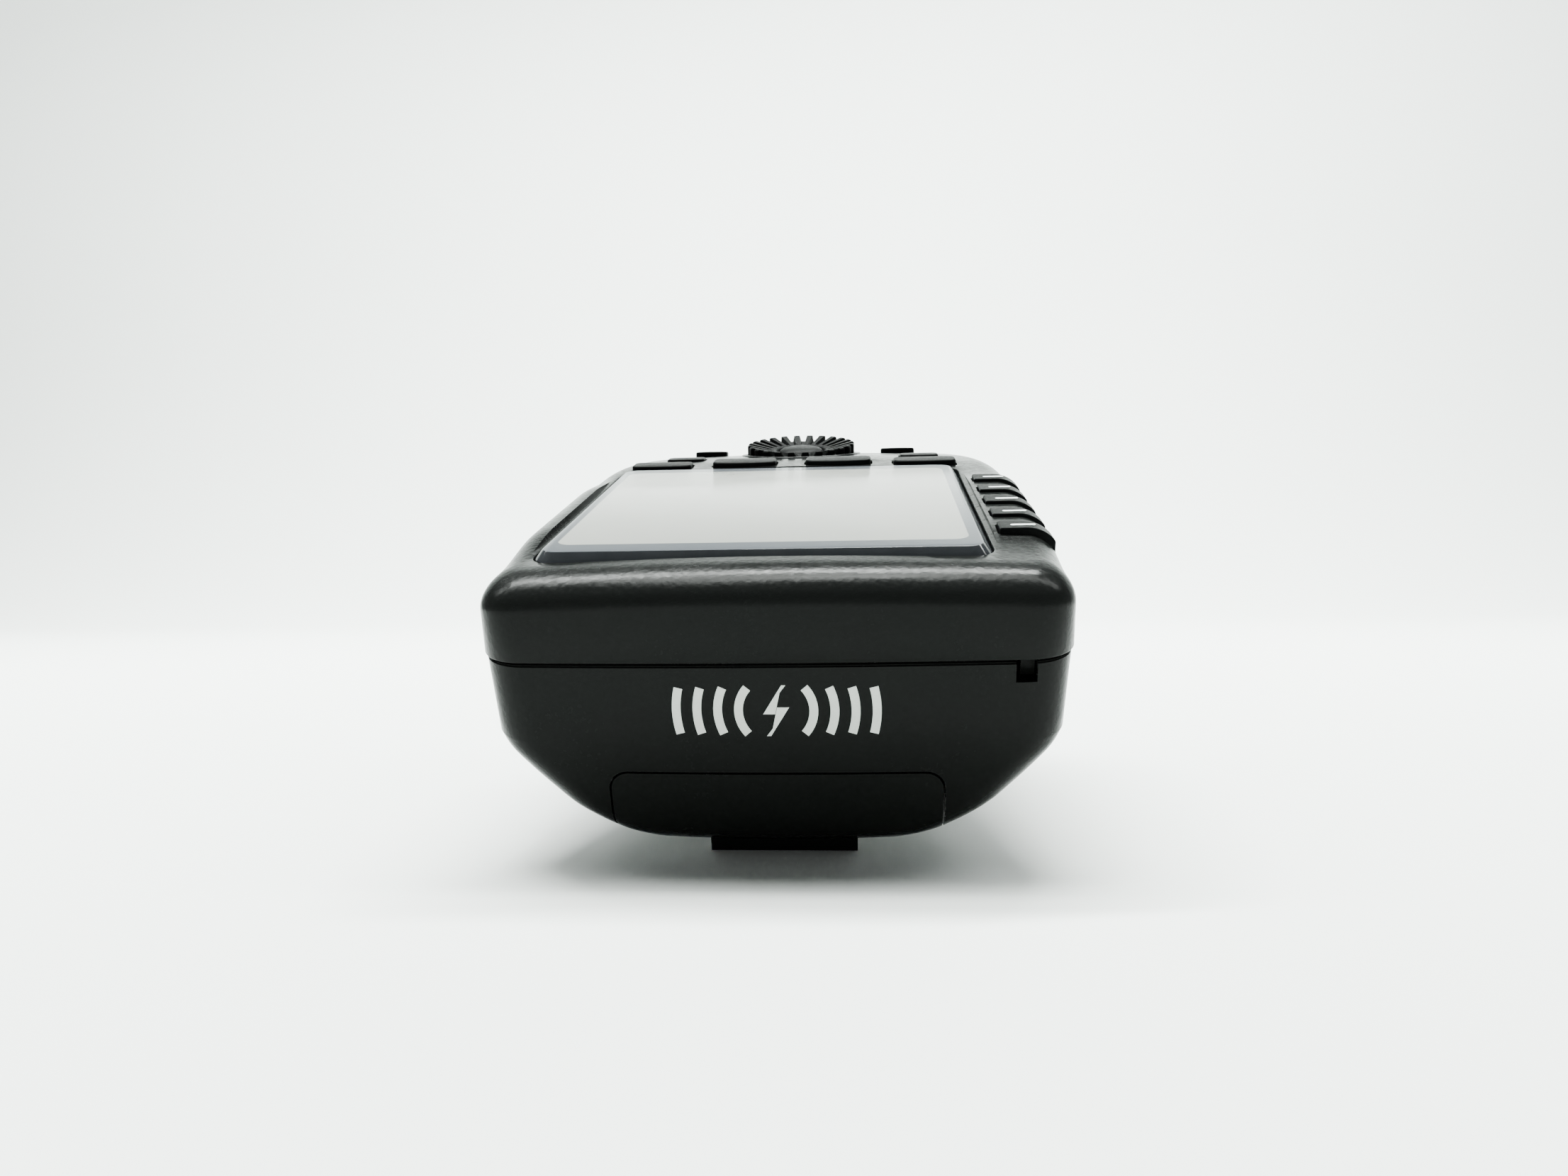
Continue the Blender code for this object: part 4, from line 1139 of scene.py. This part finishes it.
def group_edge_height():
    """Height of the casing's top beside the group keys, where its rounded edge starts."""
    return top_height(HALF_WIDTH - SIDE_FILLET, GROUP_KEY_FIRST)


def group_key_outline():
    """Section of a group key: its top follows the casing's edge, a little proud of it."""
    edge_z = group_edge_height()
    centre = (HALF_WIDTH - SIDE_FILLET, edge_z - SIDE_FILLET)
    reach = SIDE_FILLET + GROUP_KEY_RAISE
    last = math.asin((GROUP_KEY_OUTER - centre[0]) / reach)
    outline = [(GROUP_KEY_INNER, GROUP_KEY_FLOOR), (GROUP_KEY_INNER, edge_z + GROUP_KEY_RAISE)]
    steps = 16
    for step in range(steps + 1):
        angle = last * step / steps
        outline.append((centre[0] + reach * math.sin(angle), centre[1] + reach * math.cos(angle)))
    stem_inner, stem_outer = GROUP_STEM
    return outline + [
        (GROUP_KEY_OUTER, GROUP_KEY_FLOOR),
        (stem_outer, GROUP_KEY_FLOOR),
        (stem_outer, GROUP_STEM_END),
        (stem_inner, GROUP_STEM_END),
        (stem_inner, GROUP_KEY_FLOOR),
    ]


def add_group_keys():
    start, end, half, shift, depth, height = BAR_MARK
    top = group_edge_height() + GROUP_KEY_RAISE
    for index, middle in enumerate(group_middles()):
        name = f"group_key_{index + 1}"
        form = side_prism(group_key_outline(), (middle - GROUP_KEY_HALF, middle + GROUP_KEY_HALF))
        add_piece(
            f"{name}_cap", form, KEY_BLACK, name, "key_black", [name], bevel=GROUP_KEY_EDGE, steps=5
        )
        line = middle - shift
        outline = rounded_rectangle((start, end), (line - half, line + half), half * 0.98, 6)
        mark = prism(outline, (top - depth, top + height))
        add_piece(f"{name}_bar", mark, KEY_INK, name, "light_white")


def crowned_key(outline, bottom, top, edge, swell):
    """A key with a rounded edge, whose top swells slightly towards its middle."""
    rows = [[(x, y, bottom) for x, y in outline(0.0)]]
    steps = 5
    for step in range(steps + 1):
        angle = math.pi / 2 * step / steps
        drop = edge * (1 - math.sin(angle))
        rows.append([(x, y, top - drop) for x, y in outline(-edge * (1 - math.cos(angle)))])
    base = outline(-edge)
    for share in (0.75, 0.45, 0.15):
        height = top + swell * (1 - share**2)
        rows.append([(x * share, y * share, height) for x, y in base])
    return stack(rows)


def add_rear_keys():
    for name, x, y, outline, raised in rear_keys():
        bottom = KEY_BOTTOM - top_height(x, y)
        form = crowned_key(outline, bottom, raised - KEY_SINK, KEY_EDGE, KEY_SWELL)
        add_piece(f"{name}_cap", form, KEY_BLACK, name, "key_black", [name], key_space(x, y))


def tooth(angle):
    """1 on a tooth and 0 between teeth, with sloping flanks."""
    share = (angle * DIAL_TEETH / (2 * math.pi)) % 1.0
    distance = abs(share - 0.5)
    return 1.0 - ease(distance, *TOOTH_FLANK)


def dial_form():
    """The dial: teeth on the rim run on over the top as ridges, down a dished cone to the bore."""
    steps = DIAL_TEETH * DIAL_TOOTH_STEPS
    root = DIAL_RADIUS - TOOTH_DEPTH
    rim = DIAL_RADIUS - DIAL_RIM_INSET
    low = DIAL_SKIRT + 0.02
    profile = [("wall", share) for share in (0.0, 0.2, 0.4, 0.6, 0.8, 1.0)]
    profile += [("round", share) for share in (0.25, 0.5, 0.75, 1.0)]
    profile += [("top", share) for share in (0.12, 0.25, 0.4, 0.55, 0.7, 0.85, 1.0)]
    rows = [
        [(DIAL_BORE, DIAL_BOTTOM)] * steps,
        [(rim, DIAL_BOTTOM)] * steps,
        [(rim, DIAL_SKIRT - 0.12)] * steps,
        [(DIAL_RADIUS - DIAL_SKIRT_INSET, DIAL_SKIRT)] * steps,
    ]
    for kind, share in profile:
        row = []
        for step in range(steps):
            rise = tooth(2 * math.pi * step / steps)
            radius = root + TOOTH_DEPTH * rise
            crest = DIAL_TOP - RIDGE_DEPTH * (1 - rise)
            if kind == "wall":
                row.append((radius - 0.02, low + (crest - DIAL_EDGE - low) * share))
            elif kind == "round":
                angle = math.pi / 2 * share
                inward = DIAL_EDGE * (1 - math.cos(angle))
                row.append((radius - inward, crest - DIAL_EDGE * (1 - math.sin(angle))))
            else:
                start = radius - DIAL_EDGE
                ridge = 1.0 - ease(share, 0.35, 1.0)
                cone = DIAL_TOP - DIAL_DISH * share
                height = cone - RIDGE_DEPTH * (1 - rise) * ridge
                row.append((start + (DIAL_HUB - start) * share, height))
        rows.append(row)
    rows += [[point] * steps for point in DIAL_LIP]
    x, y = DIAL_CENTRE
    rings = []
    for row in rows:
        ring = []
        for step, (radius, height) in enumerate(row):
            angle = 2 * math.pi * step / steps
            ring.append((x + radius * math.cos(angle), y + radius * math.sin(angle), height))
        rings.append(ring)
    return hoop(rings)


def add_dial():
    look = {"angle": DIAL_SMOOTH_ANGLE}
    add_piece(
        "select_dial_wheel", dial_form(), KEY_BLACK, "dial", "key_black", ["select_dial"], **look
    )
    form = turned(BUTTON_PROFILE)
    bmesh.ops.translate(form, verts=form.verts[:], vec=(*DIAL_CENTRE, 0.0))
    add_piece("set_button_cap", form, KEY_BLACK, "set_button", "key_black", ["set_button"])
    rings = []
    for radius, height in COLLAR_PROFILE:
        ring = []
        for side in range(ROUND_SIDES):
            angle = 2 * math.pi * side / ROUND_SIDES
            x = DIAL_CENTRE[0] + radius * math.cos(angle)
            y = DIAL_CENTRE[1] + radius * math.sin(angle)
            ring.append((x, y, top_height(x, y) + height))
        rings.append(ring)
    add_piece("dial_collar", hoop(rings), BLACK, "casing", "casing_black", **look)


# ---------------------------------------------------------------- printed mark on the nose


def nose_face(x):
    """The nose face's distance from the front plane, at this X."""
    flat = NOSE_FACE_HALF - PLAN_CORNER
    return NOSE_BOW * min(1.0, abs(x) / flat) ** 2


def flat_mark(name, outlines):
    """A thin print that follows the nose. Each outline is a strip of left and right points."""
    form = bmesh.new()
    for strip in outlines:
        front, back = [], []
        for points, depth in ((front, MARK_PROUD), (back, -MARK_SUNK)):
            for x, z in strip:
                points.append(form.verts.new((x, nose_face(x) - depth, z)))
        half = len(strip) // 2
        for side in (front, back):
            for index in range(half - 1):
                form.faces.new((side[index], side[index + 1], side[-index - 2], side[-index - 1]))
        for index in range(len(strip)):
            after = (index + 1) % len(strip)
            form.faces.new((front[index], back[index], back[after], front[after]))
    add_piece(name, form, INK, "casing", "light_white")


def add_nose_mark():
    """A generic sign for wireless flash: a bolt between rows of arcs."""
    centre_x, centre_z = MARK_CENTRE
    strips = []
    for radius in ARC_RADII:
        sweep = math.asin(ARC_REACH / radius)
        for side in (-1, 1):
            outer, inner = [], []
            for step in range(ARC_STEPS + 1):
                angle = -sweep + 2 * sweep * step / ARC_STEPS
                for points, reach in (
                    (outer, radius + ARC_HALF_WIDTH),
                    (inner, radius - ARC_HALF_WIDTH),
                ):
                    x = centre_x + side * reach * math.cos(angle)
                    points.append((x, centre_z + reach * math.sin(angle)))
            strips.append(outer + list(reversed(inner)))
    flat_mark("nose_mark_arcs", strips)
    bolt = []
    for strip in (BOLT_UPPER, BOLT_LOWER):
        bolt.append([(centre_x + x, centre_z + z) for x, z in strip])
    flat_mark("nose_mark_bolt", bolt)


# ---------------------------------------------------------------- carried-over pieces


def refine_nodes():
    """Rounds the edges of the CAD pieces that stay."""
    for name, width in ROUNDED_NODES:
        item = NODES[name]
        weld = item.modifiers.new("weld", "WELD")
        weld.merge_threshold = WELD_DISTANCE
        add_bevel(item, width)


# ---------------------------------------------------------------- stage, light and camera


def add_stage():
    paint = Paint("backdrop_paper", 0.85)
    paint.colour(paint.blend(paint.noise(2.2, 3.0), (0.80, 0.83, 0.815), (0.84, 0.865, 0.85)))
    paint.rough(paint.ranged(paint.noise(240.0, 5.0), 0.8, 0.92))
    paint.bump(paint.noise(900.0, 4.0), 0.00003, 0.5)
    profile = [(y, 0.0) for y in BACKDROP_FLOOR_Y]
    for step in range(BACKDROP_STEPS + 1):
        angle = math.pi / 2 * step / BACKDROP_STEPS
        y = BACKDROP_TURN_Y + BACKDROP_RADIUS * math.sin(angle)
        profile.append((y, BACKDROP_RADIUS * (1 - math.cos(angle))))
    profile += [(BACKDROP_TURN_Y + BACKDROP_RADIUS, z) for z in BACKDROP_TOP]
    form = bmesh.new()
    rows = []
    for y, z in profile:
        rows.append([form.verts.new((x, y, z)) for x in BACKDROP_X])
    for row, following in zip(rows, rows[1:]):
        for index in range(len(row) - 1):
            form.faces.new((row[index], row[index + 1], following[index + 1], following[index]))
    mesh = bpy.data.meshes.new("backdrop")
    form.to_mesh(mesh)
    form.free()
    mesh.materials.append(paint.material)
    mesh.shade_smooth()
    backdrop = bpy.data.objects.new("backdrop", mesh)
    bpy.context.scene.collection.objects.link(backdrop)


def add_area(name, place, target, size, power):
    data = bpy.data.lights.new(name, "AREA")
    data.shape = "RECTANGLE"
    data.size, data.size_y = size
    data.energy = power
    data.color = LIGHT_TINT
    light = bpy.data.objects.new(name, data)
    light.location = place
    aim = Vector(target) - Vector(place)
    light.rotation_euler = aim.to_track_quat("-Z", "Y").to_euler()
    bpy.context.scene.collection.objects.link(light)


def add_lights():
    world = bpy.data.worlds.new("studio")
    bpy.context.scene.world = world
    world.use_nodes = True
    background = world.node_tree.nodes["Background"]
    background.inputs["Color"].default_value = WORLD_COLOUR
    tree = world.node_tree
    place = tree.nodes.new("ShaderNodeTexCoord")
    parts = tree.nodes.new("ShaderNodeSeparateXYZ")
    tree.links.new(place.outputs["Generated"], parts.inputs[0])
    glow = tree.nodes.new("ShaderNodeMapRange")
    for index, value in enumerate(WORLD_GLOW):
        glow.inputs[index + 1].default_value = value
    tree.links.new(parts.outputs["Z"], glow.inputs[0])
    tree.links.new(glow.outputs[0], background.inputs["Strength"])
    for light in AREA_LIGHTS:
        add_area(*light)


def add_camera():
    data = bpy.data.cameras.new("camera")
    data.lens = LENS_MM
    data.sensor_width = SENSOR_MM
    data.clip_start = CLIP_START
    camera = bpy.data.objects.new("camera", data)
    back = Vector(CAMERA_BACK).normalized()
    up = Vector(CAMERA_UP)
    right = up.cross(back).normalized()
    up = back.cross(right)
    turn = Matrix((right, up, back)).transposed().to_4x4()
    place = STANCE @ (Vector(CAMERA_PLACE) * MM)
    camera.matrix_world = Matrix.Translation(place) @ turn
    bpy.context.scene.collection.objects.link(camera)
    bpy.context.scene.camera = camera


add_upper_casing()
add_lower_casing()
add_battery_lid()
add_screen()
add_group_keys()
add_rear_keys()
add_dial()
add_nose_mark()
refine_nodes()
add_stage()
add_lights()
add_camera()
